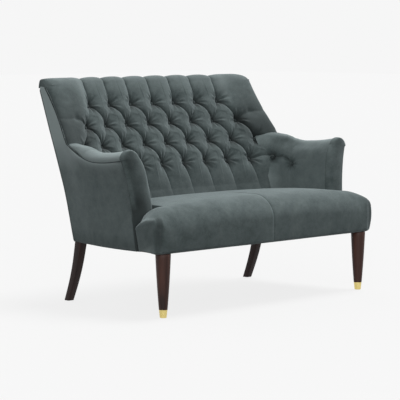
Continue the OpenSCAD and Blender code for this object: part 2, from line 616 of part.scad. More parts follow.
module arm_rail(side) color(beech) both(side) {
    y0 = behind_y(arm_rail_top) + soft_gap;
    translate([arm_rail_x, y0, arm_rail_z]) cube([arm_rail_t, arm_block_y - y0, arm_rail_h]);
}
module arm_rail_blocks() color(beech) for (side = [-1, 1]) both(side) {
    x0 = post_x0 + wing_board_t;
    translate([x0, arm_block_y, arm_rail_z]) cube([arm_rail_x + 9 - x0, arm_block_t, arm_rail_h]);
}

// Frame: the back's curved rails, uprights and webbing, square to the raked face
board_n = lining * cos(rake) + 2 * soft_gap + strap_t;
top_rail_z = post_top - sweep(post_x0) * cos(rake) * sin(rake);
low_rail_rise = 72;
low_rail_z = rail_top + low_rail_rise;
module raked(z) translate([0, centre_y(z), z]) rotate([-rake, 0, 0]) children();
module strip(x0, x1, n, t, low, high) translate([0, 0, low]) linear_extrude(high - low) {
    steps = max(2, round((x1 - x0) / 20));
    xs = [for (k = [0:steps]) mix(x0, x1, k / steps)];
    polygon(concat([for (x = xs) [x, n - sweep(x) * cos(rake)]],
        [for (k = [steps:-1:0]) [xs[k], n + t - sweep(xs[k]) * cos(rake)]]));
}
back_span = (top_rail_z - low_rail_z) / cos(rake) - back_board_h;
module back_top_rail() color(beech) raked(top_rail_z)
    strip(-post_x0, post_x0, board_n, back_board_t, -back_board_h, 0);
module back_lower_rail() color(beech) raked(low_rail_z)
    strip(-post_x0, post_x0, board_n, back_board_t, -back_board_h, 0);
upright_x = 150;
module back_uprights() color(beech) for (x = [-upright_x, upright_x]) raked(low_rail_z)
    strip(x - 22, x + 22, board_n, back_board_t, 0, back_span);
strap_pitch = 2 * post_x0 / 9;
module back_webbing() color(hessian) for (k = [-3.5:1:3.5]) raked(low_rail_z)
    strip(k * strap_pitch - strap_w / 2, k * strap_pitch + strap_w / 2,
        board_n - strap_t - soft_gap / 2, strap_t, -back_board_h + 6, back_span + back_board_h - 6);

// Seat: zigzag springs on clips, and the foam
spring_pitch = (arm_gap - 70) / (spring_count + 0.4);
clip_w = 18;
clip_len = 16;
lead = 16;
spring_y0 = rail_face_y + 8;
spring_y1 = back_rail_y + rail_t - 8;
function zig(y) = let (u = (y - spring_y0 - lead) / (spring_y1 - spring_y0 - 2 * lead))
    u < 0 || u > 1 ? 0 : (spring_w - wire_d) / 2 * sin(180 * spring_loops * u);
module spring() {
    n = spring_loops * 4;
    ys = concat([spring_y0], [for (k = [0:n]) mix(spring_y0 + lead, spring_y1 - lead, k / n)], [spring_y1]);
    m = len(ys) - 1;
    function edge(i, s) = let (a = max(i - 1, 0), b = min(i + 1, m),
            d = [zig(ys[b]) - zig(ys[a]), ys[b] - ys[a]], t = d / norm(d))
        [zig(ys[i]), ys[i]] + s * wire_d / 2 * [t[1], -t[0]];
    linear_extrude(wire_d) polygon(concat([for (i = [0:m]) edge(i, 1)], [for (i = [m:-1:0]) edge(i, -1)]));
}
module on_springs() for (k = [0:spring_count - 1])
    translate([(k - (spring_count - 1) / 2) * spring_pitch, 0, 0]) children();
module seat_springs() color(steel) translate([0, 0, spring_z]) on_springs() spring();
module clip() {
    gap = wire_d + 0.2;
    translate([-clip_w / 2, 0, 0]) cube([clip_w, clip_len, clip_t]);
    translate([-clip_w / 2, 0, clip_t + gap]) cube([clip_w, clip_len, clip_t]);
    translate([-clip_w / 2, 0, 0]) cube([clip_t, clip_len, 2 * clip_t + gap]);
}
module spring_clips() color(steel) on_springs() {
    translate([0, rail_face_y + 4, rail_top]) clip();
    translate([0, back_rail_y + rail_t - 4 - clip_len, rail_top]) clip();
}
module seat_foam() color(foam_colour) translate([0, 0, foam_z]) linear_extrude(foam_t) {
    xs = [for (k = [-8:8]) k / 8 * foam_half];
    front = rail_face_y + 53;
    polygon(concat([[-foam_half, front], [foam_half, front]],
        [for (k = [16:-1:0]) [xs[k], face_y(xs[k], foam_z) - 1]]));
}

// Legs, their bolts and the cloth under the frame
module front_leg(side) color(walnut) both(side) translate([leg_x, 0, 0]) difference() {
    rotate_extrude($fn = 64) polygon(concat([[0, ferrule_wall + 0.1]],
        [for (k = [0, 1])
            [mix(ferrule_foot_d, front_ankle_d, k) / 2 - 0.1, mix(ferrule_wall + 0.1, ferrule_h, k)]],
        [for (k = [0:6]) [mix(front_ankle_d / 2 + ferrule_wall * 0.7, front_leg_d / 2, k / 6)
            + 1.2 * sin(30 * k), mix(ferrule_h + 0.1, floor_gap, k / 6)]],
        [[0, floor_gap]]));
    bolt_hole(0, 0, floor_gap - (bolt_len - bolt_in) - 3, bolt_len);
}
module ferrule(side) color(brass) both(side) translate([leg_x, 0, 0]) difference() {
    cylinder(h = ferrule_h, d1 = ferrule_foot_d + 2 * ferrule_wall,
        d2 = front_ankle_d + 2 * ferrule_wall, $fn = 64);
    translate([0, 0, ferrule_wall]) cylinder(h = ferrule_h - ferrule_wall + 0.01,
        d1 = ferrule_foot_d, d2 = front_ankle_d, $fn = 64);
}
function rear_leg_mid(f) = rear_leg_y + rear_rake * f - rear_bow * sin(180 * f);
module rear_leg(side) color(walnut) both(side) difference() {
    intersection() {
        side_board(rear_leg_x - rear_leg_top, rear_leg_x + rear_leg_top, concat(
            [for (k = [0:10]) let (f = k / 10) [rear_leg_mid(f) + mix(rear_leg_top, rear_leg_foot, f) / 2,
                floor_gap * (1 - f)]],
            [for (k = [10:-1:0]) let (f = k / 10) [rear_leg_mid(f) - mix(rear_leg_top, rear_leg_foot, f) / 2,
                floor_gap * (1 - f)]]));
        translate([rear_leg_x, rear_leg_y + 2 * rear_leg_top + rear_rake, 0]) rotate([90, 0, 0])
            linear_extrude(4 * rear_leg_top + rear_rake) polygon([[-rear_leg_foot / 2, 0],
                [rear_leg_foot / 2, 0], [rear_leg_top / 2, floor_gap], [-rear_leg_top / 2, floor_gap]]);
    }
    bolt_hole(rear_leg_x, rear_leg_y, floor_gap - (bolt_len - bolt_in) - 3, bolt_len);
}
module leg_bolts() color(steel) for (side = [-1, 1]) both(side)
    for (p = [[leg_x, 0], [rear_leg_x, rear_leg_y]])
        translate([p[0], p[1], floor_gap - (bolt_len - bolt_in)])
            cylinder(h = bolt_len, d = bolt_d, $fn = 32);
module dust_cover() color(black_cloth) translate([0, 0, floor_gap - dust_t]) linear_extrude(dust_t)
    difference() {
        half = [[side_rail_x0 - 4, rail_face_y + 4], [side_rail_x1 - 4, side_rail_y1],
                [post_x1 - 4, back_rail_y + rail_t - 4]];
        polygon(concat(half, [for (k = [2:-1:0]) [-half[k][0], half[k][1]]]));
        for (side = [-1, 1]) {
            translate([side * leg_x, 0]) circle(d = front_leg_d + 1, $fn = 48);
            translate([side * rear_leg_x, rear_leg_y]) square(rear_leg_top + 1, center = true);
        }
    }

placed() front_rail();
placed() back_rail();
placed() side_rail(-1);  // side_rail_left
placed() side_rail(1);  // side_rail_right
placed() centre_stretcher();
placed() corner_blocks();
placed() arm_post(-1);  // arm_post_left
placed() arm_post(1);  // arm_post_right
placed() arm_rail(-1);  // arm_rail_left
placed() arm_rail(1);  // arm_rail_right
placed() arm_rail_blocks();
placed() back_post(-1);  // back_post_left
placed() back_post(1);  // back_post_right
placed() wing_board(-1);  // wing_board_left
placed() wing_board(1);  // wing_board_right
placed() back_top_rail();
placed() back_lower_rail();
placed() back_uprights();
placed() seat_springs();
placed() spring_clips();
placed() back_webbing();
placed() seat_foam();
placed() seat_cover();
placed() inside_back();
placed() inside_arm(-1);  // inside_arm_left
placed() inside_arm(1);  // inside_arm_right
placed() arm_pad(-1);  // arm_pad_left
placed() arm_pad(1);  // arm_pad_right
placed() arm_facing(-1);  // arm_facing_left
placed() arm_facing(1);  // arm_facing_right
placed() outside_arm(-1);  // outside_arm_left
placed() outside_arm(1);  // outside_arm_right
placed() outside_back();
placed() dust_cover();
placed() back_buttons();
placed() arm_buttons();
placed() arm_welt(-1);  // arm_welt_left
placed() arm_welt(1);  // arm_welt_right
placed() front_leg(-1);  // front_leg_left
placed() front_leg(1);  // front_leg_right
placed() ferrule(-1);  // ferrule_left
placed() ferrule(1);  // ferrule_right
placed() rear_leg(-1);  // rear_leg_left
placed() rear_leg(1);  // rear_leg_right
placed() leg_bolts();
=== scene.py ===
# %% [markdown]
# # Snuggler chair
# A wide, low-armed chair covered in slate velvet: a raked back with deep buttoning, swept wings,
# padded arms with flared fronts, a T-shaped seat, round front legs in metal ferrules and raked rear
# legs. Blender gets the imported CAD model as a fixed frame, and each piece is built in place on it.

# %% Load the frame
import json
from math import atan, atan2, cos, exp, hypot, pi, radians, sin, tan

import bmesh
import bpy
import numpy as np
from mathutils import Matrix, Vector


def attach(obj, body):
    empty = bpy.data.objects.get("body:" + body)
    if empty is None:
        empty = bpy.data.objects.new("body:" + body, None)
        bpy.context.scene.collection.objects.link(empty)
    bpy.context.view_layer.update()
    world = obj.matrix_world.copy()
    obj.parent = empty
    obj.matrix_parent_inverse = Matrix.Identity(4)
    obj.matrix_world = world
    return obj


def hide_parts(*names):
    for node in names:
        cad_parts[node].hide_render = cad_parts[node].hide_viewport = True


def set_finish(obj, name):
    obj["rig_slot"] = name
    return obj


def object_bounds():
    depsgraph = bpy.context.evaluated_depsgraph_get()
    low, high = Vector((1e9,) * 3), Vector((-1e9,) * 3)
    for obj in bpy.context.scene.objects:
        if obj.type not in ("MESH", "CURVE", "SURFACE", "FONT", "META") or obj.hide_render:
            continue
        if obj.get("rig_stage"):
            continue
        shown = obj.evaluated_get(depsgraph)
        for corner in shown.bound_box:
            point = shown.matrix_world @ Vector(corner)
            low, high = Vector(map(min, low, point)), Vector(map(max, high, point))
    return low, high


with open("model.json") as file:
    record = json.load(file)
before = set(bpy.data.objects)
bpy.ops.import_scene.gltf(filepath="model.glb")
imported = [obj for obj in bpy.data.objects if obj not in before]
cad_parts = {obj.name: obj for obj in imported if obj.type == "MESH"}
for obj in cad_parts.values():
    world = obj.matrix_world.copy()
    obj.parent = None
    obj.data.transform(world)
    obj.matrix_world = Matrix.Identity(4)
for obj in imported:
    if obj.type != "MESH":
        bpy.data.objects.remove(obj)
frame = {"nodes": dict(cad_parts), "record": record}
cad_box = [list(corner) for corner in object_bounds()]
bpy.ops.object.select_all(action="DESELECT")
print("CAD nodes:", len(frame["nodes"]), "box:", [[round(v, 3) for v in c] for c in cad_box])

# %% [markdown]
# The camera comes first, because it decides what has to look right. A long lens from far away keeps
# the lines nearly parallel, as in a shop's photograph: it stands left of the chair's front, turned
# 44 degrees, and looks down a little.

# %% Camera
scene = bpy.context.scene
camera_data = bpy.data.cameras.new("camera")
camera_data.lens = 168.74
camera_data.sensor_width = 36
camera_data.clip_end = 60
camera = bpy.data.objects.new("camera", camera_data)
camera.location = (-5.4186, -5.5323, 1.0989)
camera.rotation_euler = (radians(90 - 5.214), 0, radians(-44.3))
scene.collection.objects.link(camera)
scene.camera = camera
print("camera at", tuple(camera.location))

# %% [markdown]
# Upholstery is sewn from flat cloth over padding, so its surfaces are smooth sheets with sharp seams.
# Each is written here as a formula for a point's place, in millimetres, with distances behind the
# front legs' axes as y. The same few curves shape every piece, so that neighbours meet along a seam.

# %% The chair's main curves
MIDDLE_Y = 357.44
FLOOR_GAP, SEAT_H, BACK_H, ARM_H = 246.0, 438.0, 901.0, 637.0
RAKE_DEGREES = 26.7
RAKE = radians(RAKE_DEGREES)
RAKE_SIN, RAKE_COS = sin(RAKE), cos(RAKE)
TUFT, BUTTON_GAP, ROW_GAP, ROW_TOP = 30.0, 123.7, 82.6, 783.0
ARM_IN, SEAT_HALF, RAIL_TOP = 503.0, 611.0, 328.0
FRONT_FOOT_X, REAR_FOOT_X = ARM_IN + 94, 538
WING_TOP_X, WING_LOW_X, WING_LOW_Z, CORNER_TOP_Z = 583.0, 606.0, 643.0, 870.0
ROLL_UP = 38
SEAM_Z, ARM_TOP_Z = ARM_H - ROLL_UP, ARM_H - 29
PANEL_TOP = BACK_H - 43
TUCK_Z = RAIL_TOP + 6
SIDES = ((-1, "left"), (1, "right"))


def mix(a, b, t):
    return a + (b - a) * t


def share(value, low, high):
    return np.clip((value - low) / (high - low), 0, 1)


def bell(d, width, power=2):
    """1 where d is 0, and about a third at the width."""
    return np.exp(-(d / width) ** power)


def xyz(*parts):
    return np.stack(parts, -1)


def inner_x(z):
    g = share(z, 420, ARM_TOP_Z)
    return ARM_IN + 50 * (0.52 * g + 0.48 * g ** 6)


ARM_TOP_X = inner_x(ARM_TOP_Z)


def sweep(x):
    u = (x / WING_TOP_X) ** 2
    return 95 * (0.04 * u + 0.96 * u * u)


def base_y(x, z):
    return 500 + (z - SEAT_H) * tan(RAKE) - sweep(x)


def face_y(x, z):
    return base_y(x, z) - TUFT / RAKE_COS


def rear_f(z):
    return share(z, FLOOR_GAP, BACK_H - 33)


def rear_bow(f):
    """How far the chair's rear edge bows forwards between its ends."""
    return 30 * np.sin(np.pi * f) - 7 * np.sin(np.pi * share(f, 0.35, 1))


def rear_line_y(z):
    return 556 + 169 * rear_f(z) - rear_bow(rear_f(z))


def rear_line_x(z):
    return mix(REAR_FOOT_X, WING_TOP_X - 7, rear_f(z)) + 11 * np.sin(np.pi * rear_f(z))


def outside_y(x, z):
    return rear_line_y(z) + mix(15, 43, rear_f(z)) * (1 - (x / rear_line_x(z)) ** 2)


def seam_x(z):
    hollow = 8 * np.sin(np.pi * share(z, WING_LOW_Z + 20, CORNER_TOP_Z))
    return mix(WING_LOW_X, WING_TOP_X, share(z, WING_LOW_Z, CORNER_TOP_Z)) - hollow


def seam_y(z):
    return 677 - 165 * (1 - share(z, WING_LOW_Z, CORNER_TOP_Z))


def edge_x(z):
    low = mix(ARM_TOP_X, WING_LOW_X, share(z, ARM_TOP_Z, WING_LOW_Z))
    return np.where(z < ARM_TOP_Z, inner_x(z), np.where(z < WING_LOW_Z, low, seam_x(z)))


print("back's face is", round(float(face_y(0, SEAT_H))), "mm behind the front legs at the seat")

# %% [markdown]
# A piece is kept as a grid of points, rows by columns. `skin` turns points and faces into an object
# in metres, in the frame's place, with its normals turned outwards. `loft` closes a row of rings,
# and `slab` closes a fine outer sheet with a coarser lining behind it, as real covers have. A velvet
# sheet also carries painted light and shade at each point: 1 is painted light, pale, -1 painted shade.

# %% From points to closed pieces
made = []


def select_only(piece):
    bpy.ops.object.select_all(action="DESELECT")
    piece.select_set(True)
    bpy.context.view_layer.objects.active = piece


def in_frame(points):
    return (np.array(points) - [0, MIDDLE_Y, 0]) / 1000


def skin(name, points, faces, smooth_angle=50, lie=None):
    mesh = bpy.data.meshes.new(name)
    mesh.from_pydata(in_frame(points).tolist(), [], faces)
    # Painted light and shade for each point, kept as a mesh attribute for the velvet.
    if lie is not None:
        lies = np.zeros(len(points))
        lies[:lie.size] = lie.ravel()
        mesh.attributes.new("pile_lie", "FLOAT", "POINT").data.foreach_set("value", lies)
    form = bmesh.new()
    form.from_mesh(mesh)
    bmesh.ops.remove_doubles(form, verts=form.verts, dist=1e-5)
    bmesh.ops.recalc_face_normals(form, faces=form.faces)
    form.to_mesh(mesh)
    form.free()
    piece = bpy.data.objects.new(name, mesh)
    scene.collection.objects.link(piece)
    select_only(piece)
    bpy.ops.object.shade_smooth_by_angle(angle=radians(smooth_angle))
    made.append(piece)
    return piece


def grid_faces(rows, cols, start=0, around=False):
    i, j = np.meshgrid(np.arange(rows - 1), np.arange(cols if around else cols - 1), indexing="ij")
    a, b = start + i * cols + j, start + i * cols + (j + 1) % cols
    return np.stack([a, b, b + cols, a + cols], -1).reshape(-1, 4).tolist()


def stitch(a, b):
    n, m = len(a) - 1, len(b) - 1
    faces = []
    for i in range(n):
        j, k = int(i * m / n + 0.5), int((i + 1) * m / n + 0.5)
        faces.append((a[i], b[j], a[i + 1]))
        faces += [(a[i + 1], b[l], b[l + 1]) for l in range(j, k)]
    return faces


def loft(name, rings, **look):
    n, m, _ = rings.shape
    caps = [list(range(m)), list(range((n - 1) * m, n * m))]
    return skin(name, rings.reshape(-1, 3), grid_faces(n, m, around=True) + caps, **look)


def slab(name, outer, inner, **look):
    (r, c, _), (ri, ci, _) = outer.shape, inner.shape
    s = r * c
    faces = grid_faces(r, c) + grid_faces(ri, ci, s)
    o = np.arange(s).reshape(r, c)
    u = s + np.arange(ri * ci).reshape(ri, ci)
    for a, b in ((o[0], u[0]), (o[-1], u[-1]), (o[:, 0], u[:, 0]), (o[:, -1], u[:, -1])):
        faces += stitch(a.tolist(), b.tolist())
    points = np.concatenate([outer.reshape(-1, 3), inner.reshape(-1, 3)])
    return skin(name, points, faces, **look)


def round_off(k):
    """A quarter circle's fall, from 0 where k is 0 to 1 where k is 1."""
    return 1 - np.sqrt(1 - k * k)


def rim(d, r):
    """How far a padded sheet has drawn in, at a distance d from its sewn edge."""
    return r * round_off(1 - share(d, 0, r))


def dress(piece, *nodes, slot="velvet", fill=None):
    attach(piece, "root")
    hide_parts(*nodes)
    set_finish(piece, slot)


print("sheet helpers ready")

# %% [markdown]
# The back is deep buttoned: the cloth is pulled to the frame at each button and folded along the
# diagonals between them. In lattice coordinates p and q, buttons are where both are whole numbers and
# folds run where one of them is. Each diamond is a pillow. Its pleats all go one way, as an
# upholsterer turns them: one diagonal is a tight tuck and the other a soft valley. An oval funnel with
# small rays of gathered cloth goes down to each button, with painted shade round it and along folds.

# %% The buttoned surface
VALLEY, PIT = 13.0, 23.0
SPACING = 102.8


def valley(d, reach=50.0, power=2.2):
    """1 on a fold's line and 0 at its reach, where the pillow is full."""
    return (1 - share(d, 0, reach)) ** power


def off(p):
    return np.abs(p - np.round(p))


def to_segment(x, z, x0, z0, x1, z1):
    """How far along a segment its nearest point lies, from 0 to 1, and the distance to it."""
    dx, dz = x1 - x0, z1 - z0
    u = np.clip(((x - x0) * dx + (z - z0) * dz) / (dx * dx + dz * dz), 0, 1)
    return u, np.hypot(x - x0 - u * dx, z - z0 - u * dz)


def section(d, width, spread):
    """A crease's section: a narrow fold in a hollow that is so many times wider."""
    return 0.6 * np.exp(-d / width) + 0.4 * bell(d, spread * width)


def last_column(row):
    """Gaps between the middle and the outermost button of a row."""
    return 3 + row // 2 + (row % 2) / 2 - (row == 3)


def nearest_button(x, z):
    """Distance and direction from the nearest button, and that button's row and column."""
    s, t = x / BUTTON_GAP, (ROW_TOP - z) / ROW_GAP
    found = []
    for step in (0, 1):
        row = np.clip(np.floor(t) + step, 0, 3)
        shift = (row % 2) / 2
        col = np.clip(np.round(s - shift) + shift, -last_column(row), last_column(row))
        dx, dz = (s - col) * BUTTON_GAP, (row - t) * ROW_GAP / RAKE_COS
        found.append(np.stack([np.hypot(dx, dz), np.arctan2(dz, dx), row, col]))
    return np.where(found[1][0] < found[0][0], found[1], found[0])


def folds_of(x, z):
    """Distances to the two folds that a point lies between."""
    s, t = x / BUTTON_GAP, (ROW_TOP - z) / ROW_GAP
    side = np.abs(s)
    p, q = SPACING * off(s + t / 2), SPACING * off(s - t / 2)
    beyond = SPACING * np.clip(side - t / 2 - 3, 0, 0.5)
    outside = side - t / 2 > 3
    q = np.where(outside, np.where(s > 0, beyond, 99), q)
    p = np.where(outside, np.where(s < 0, beyond, 99), p)
    up = SPACING * np.where(side < 3, off(s), side - 3)
    low = SPACING * off(np.minimum(side, 4.5) + 0.5)
    a = np.where(t < 0, up, np.where(t > 3, low, p))
    b = np.where(t < 0, np.where(side < 3, up, 99), np.where(t > 3, low, q))
    return a, b


# From x, z to x, z on both sides of the middle, the depth at both ends, and the width.
SIDE_CREASES = [(3.5 * BUTTON_GAP, ROW_TOP - ROW_GAP, 500, 727, 5, 7, 7),
                (500, 727, 596, 728, 7, 2, 7),
                (4 * BUTTON_GAP, ROW_TOP - 2 * ROW_GAP, 600, 632, 6, 5, 6),
                (3.5 * BUTTON_GAP, ROW_TOP - 3 * ROW_GAP, 512, 540, 10, 8, 5)]


def tuft_depth(x, z):
    """How far the cloth lies below the crest of the padding, in mm."""
    t = (ROW_TOP - z) / ROW_GAP
    a, b = folds_of(x, z)
    single = np.maximum(share(-t, 0, 0.8), share(t, 3, 3.8))
    low = share(t, 3.3, 4.4)
    folded = VALLEY * (1 - (1 - valley(a, 51.4, 1.8)) * (1 - 0.55 * valley(b, 36)))
    depth = mix(folded, mix(13, 4, low) * valley(a), single)
    crease = np.exp(-a / 3.6)
    tucked = 1.3 * crease + 9 * np.exp(-b / 5.5)
    depth = depth + mix(tucked, 5.0 * crease * (1 - 0.9 * low), single)
    r, turn, row, col = nearest_button(x, z)
    rays = np.cos(8 * turn + 1.7 * col + 2.3 * row) + 0.7 * np.cos(13 * turn + 3.1 * col)
    oval = r * (1 - 0.3 * np.cos(2 * (turn - 0.63)))
    depth = depth + PIT * np.exp(-np.maximum(oval - 7, 0) / 19) + 1.9 * rays * bell(r - 30, 15)
    for *ends, at_start, at_end, width in SIDE_CREASES:
        u, d = to_segment(np.abs(x), z, *ends)
        depth = depth + mix(at_start, at_end, u) * section(d, width, 2.5)
    return depth


def back_lie(x, z):
    """Painted shade at and just below the buttons, along the folds, on the wings, by the seat; some painted
    light higher up.
    """
    a, b = folds_of(x, z)
    t = (ROW_TOP - z) / ROW_GAP
    # Painted shade: dark round each button and just below it, and along the folds.
    r = nearest_button(x, z + 6)[0]
    between = share(t, -0.1, 0.1) * (1 - share(t, 2.9, 3.1))
    line = between * (0.45 * np.exp(-b / 5) + 0.9 * np.exp(-b / 2.4))
    line = line + 0.4 * np.exp(-a / 3.5) * (1 - 0.7 * share(t, 3, 4))
    dark = bell(r, 24, 1.8) + 0.5 * np.clip(line, 0, 1.5) + 0.08 * between
    # Painted shade on the wings and low down by the seat.
    wing = share(np.abs(x), 395, 470) * mix(0.65, 0.25, share(z, 660, 790)) * (1 - share(z, 810, 860))
    wing = wing * share(z, 570, 650)
    low = 0.35 * share(-z, -540, -435)
    # Painted light in a band high on the back where the wings begin, and along the top.
    full = 0.3 * bell(np.abs(x) - 408, 28) * share(z, 700, 760)
    return -np.clip(dark + wing + low, 0, 1) + full + 0.2 * share(z, 820, 870)


def crest(x, z):
    """The padding's height over its base plane; it is fuller behind the sitter."""
    t = (ROW_TOP - z) / ROW_GAP
    full = 8 * share(t, -1.0, 0.3) - 20 * share(t, 3.1, 4.3)
    return TUFT + full * (1 - share(np.abs(x), 430, 550))


deep, full = tuft_depth(np.zeros(2), np.array([ROW_TOP, ROW_TOP - ROW_GAP]))
print("depth at a button:", round(deep, 1), "in a diamond:", round(full, 1))

# %% [markdown]
# The inside back is one sheet: from under the seat, over the buttoned face, over the top and down
# behind to the outside back's seam. At its sides it ends in the corner with the inside arm, and above
# the arm it becomes the wing, whose edge curls back to the outer seam. Its left top corner is squarer
# than the right one, as hand work leaves them.

# %% Inside back
WING_ROLL = 150.0


def wing_curl(x, z):
    e = edge_x(z)
    q = np.clip((np.abs(x) - e + WING_ROLL) / WING_ROLL, 0, 1)
    reach = seam_y(np.maximum(z, WING_LOW_Z)) - face_y(e, z)
    return reach * share(z, ARM_TOP_Z, WING_LOW_Z) * round_off(q)


def columns_at(c, z):
    """Sideways places: even over the buttons, then closer towards the outer edge."""
    last = 4 * BUTTON_GAP
    out = share(np.abs(c), 1, 2)
    return np.where(np.abs(c) <= 1, c * last, np.sign(c) * mix(last, edge_x(z) - 0.3, 1 - (1 - out) ** 1.6))


def slack(x, z):
    """Small unevenness of hand-stuffed padding."""
    return (np.sin(x / 61 + z / 47) + np.sin(x / 37 - z / 71 + 1.3) + np.sin(x / 103 + z / 29 + 2.1)) / 3


def face_point(c, t):
    z0 = ROW_TOP - t * ROW_GAP
    level = z0 + TUFT * RAKE_SIN
    x = columns_at(c, level)
    h = crest(x, z0) - tuft_depth(x, z0) + 0.9 * slack(x, z0)
    y = base_y(x, z0) - h * RAKE_COS + wing_curl(x, level)
    return xyz(x, y, z0 + h * RAKE_SIN)


ROLL_Z = BACK_H - 25
ROLL_CZ = (ROLL_Z - BACK_H * RAKE_SIN) / (1 - RAKE_SIN)
ROLL_START, ROLL_END = ROLL_Z - TUFT * RAKE_SIN, radians(174)


def roll_point(c, angle):
    """A point on the roll over the back's top. Both its ends drop, the right one more."""
    level, degrees = np.full_like(c, ROLL_Z), np.degrees(angle)
    x = columns_at(c, level)
    front = face_y(x, ROLL_Z) + wing_curl(x, level)
    rear = outside_y(x, PANEL_TOP)
    ry = (rear - front) / (1 + RAKE_COS)
    q = share(np.abs(x), WING_TOP_X - np.where(x < 0, 48, 100), WING_TOP_X)
    far = share(degrees, 35, 85)
    drop = mix(30, np.where(x < 0, 5, 28), far)
    rz = BACK_H - ROLL_CZ - drop * round_off(q)
    fade = 1 - share(degrees, RAKE_DEGREES, 165)
    dent = (tuft_depth(x, np.full_like(c, ROLL_START)) - 0.9 * slack(x, ROLL_Z)) * fade
    in_to_panel = np.sign(x) * 4 * q * share(degrees, 90, 150)
    y = rear - ry - (ry - dent) * np.cos(angle)
    square = far * q * (1 - share(degrees, 140, 174))
    z = ROLL_CZ + (rz - dent) * np.sin(angle) ** mix(1, 0.65, square)
    return xyz(x - in_to_panel, y, z)


# Steps of 1/52 across and 2/52 down put the folds on the grid's own diagonals.
margin = 1.05 + 0.95 * (np.arange(1, 23) / 22) ** 1.1
span = np.concatenate([-margin[::-1], np.linspace(-1, 1, 417), margin])
top_t = -(ROLL_START - ROW_TOP) / ROW_GAP
t_rows = np.append(np.arange(135, -25, -1) / 26, top_t)
angles = np.linspace(RAKE, ROLL_END, 30)[1:]
outer = np.concatenate([face_point(*np.meshgrid(span, t_rows)), roll_point(*np.meshgrid(span, angles))])
cs, ts = np.meshgrid(span, np.concatenate([t_rows, np.full(len(angles), top_t)]))
# Painted light and shade over the buttoned face, fading out over the roll.
lies = back_lie(columns_at(cs, ROW_TOP - ts * ROW_GAP), ROW_TOP - ts * ROW_GAP)
lies[len(t_rows):] *= np.linspace(1, 0, len(angles))[:, None]
print("inside back's sheet:", outer.shape[:2])


def lining_point(c, z):
    x = columns_at(c, z)
    end = np.abs(c) > 1.99
    high = end & (z > ARM_TOP_Z)
    side = np.sign(c)
    y = base_y(x, z) + 10 + wing_curl(x, z)
    return xyz(np.where(high, side * (edge_x(z) - 7), x + np.where(end, side * 18, 0)),
               np.where(high, seam_y(np.maximum(z, WING_LOW_Z)) + 1, y), z)


coarse = np.concatenate([[-2], np.linspace(-1.5, 1.5, 25), [2]])
z_rows = np.array([ROW_TOP - 5.2 * ROW_GAP, ARM_TOP_Z - 14, WING_LOW_Z, CORNER_TOP_Z - 18])
top = roll_point(coarse[None, :], np.full((1, len(coarse)), ROLL_END))
ends = np.abs(coarse) > 1.99
top = top + xyz(-np.sign(coarse) * ends * 6.5, np.full(len(coarse), -8.0), -1 + 5.0 * ends)[None]
lining = np.concatenate([lining_point(*np.meshgrid(coarse, z_rows)), top])
inside_back = slab("inside_back_pad", outer, lining, lie=lies)
dress(inside_back, "inside_back", fill=0.85)
print("inside back:", len(inside_back.data.polygons), "faces")

# %% [markdown]
# The seat is a padded T: its middle runs back between the arms, and its ears come round in front of
# them. The cover is flat below the edge, rolls over at the front, and has a sewn seam down its
# middle. One ring of points runs round the piece at each place across its right half. The rings and
# their mirror images are lofted.

# %% Seat
RAIL_END = SEAT_HALF - 14.3
FOAM_HALF = ARM_IN - 12
RAIL_FRONT_Y, COVER_LOW_Z = -16.3, 380.6
LEAN = atan(36 / (SEAM_Z - FLOOR_GAP))


def front_y(z):
    return 105 + (z - FLOOR_GAP) * tan(LEAN)


def seat_front(x):
    round_corner = 10 * share(x, SEAT_HALF - 14, SEAT_HALF) ** 2
    return -30 - 18 * (1 - (x / SEAT_HALF) ** 2) + round_corner


def seat_top(x, u):
    e = share(x, ARM_IN, SEAT_HALF)
    seam = 4.5 * exp(-x / 7)
    dish = 2.5 * bell(x - 250, 120) * sin(pi * min(u * 1.2, 1))
    fall = 39 * e ** 1.6 * u ** 2.2 + 37 * u ** 3 * (1 - e)
    return SEAT_H - 18 * min(x / ARM_IN, 1) ** 4 - 40 * e ** 2.2 - seam - dish - fall


def seat_ring(x):
    wide = x > ARM_IN - 0.5
    solid = x > RAIL_END + 1
    front = seat_front(x)
    under = FLOOR_GAP if solid else RAIL_TOP + 10 if x > FOAM_HALF + 1 else COVER_LOW_Z

    def rear(z):
        return front_y(z) - 0.3 if wide else face_y(x, z) + 14

    crown = seat_top(x, 0)
    boxed = share(x, 540, 604) ** 2
    a = mix(mix(104, 46, (x / SEAT_HALF) ** 4), 20, boxed)
    b = mix(min(96, 0.6 * (crown - FLOOR_GAP)), 26, boxed)
    back = rear(seat_top(x, 1))
    seam = 2.2 * exp(-x / 5)
    dart = 4.0 * bell(x - 600, 6.0)
    ring = [(front + 16 if solid else RAIL_FRONT_Y, FLOOR_GAP)]
    ring += [(front + 8, FLOOR_GAP + 3), (front + 4, FLOOR_GAP + 6)]
    for z in np.linspace(FLOOR_GAP + 9, crown - b - 4, 12):
        bulge = 3.0 * sin(pi * (z - FLOOR_GAP) / (crown - b + 40 - FLOOR_GAP))
        ring.append((front + 2.5 - bulge + seam + dart, z))
    for t in np.radians(np.linspace(0, 84, 29)):
        y = front + a * (1 - cos(t)) + (seam + dart) * cos(t)
        ring.append((y, crown - b + b * sin(t)))
    for u in np.linspace(0.02, 1, 44):
        edge = rim((1 - u) * (back - front - a), 6.0) if wide else 0
        ring.append((mix(front + a, back, u), seat_top(x, u) - edge))
    ring.append((rear(under), under))
    if solid:
        ring += [(back - 30, FLOOR_GAP + 4), (front + 50, FLOOR_GAP + 4)]
    else:
        ring += [(RAIL_FRONT_Y + 52, under), (RAIL_FRONT_Y, TUCK_Z)]
    return np.array([(x, y, z) for y, z in ring])


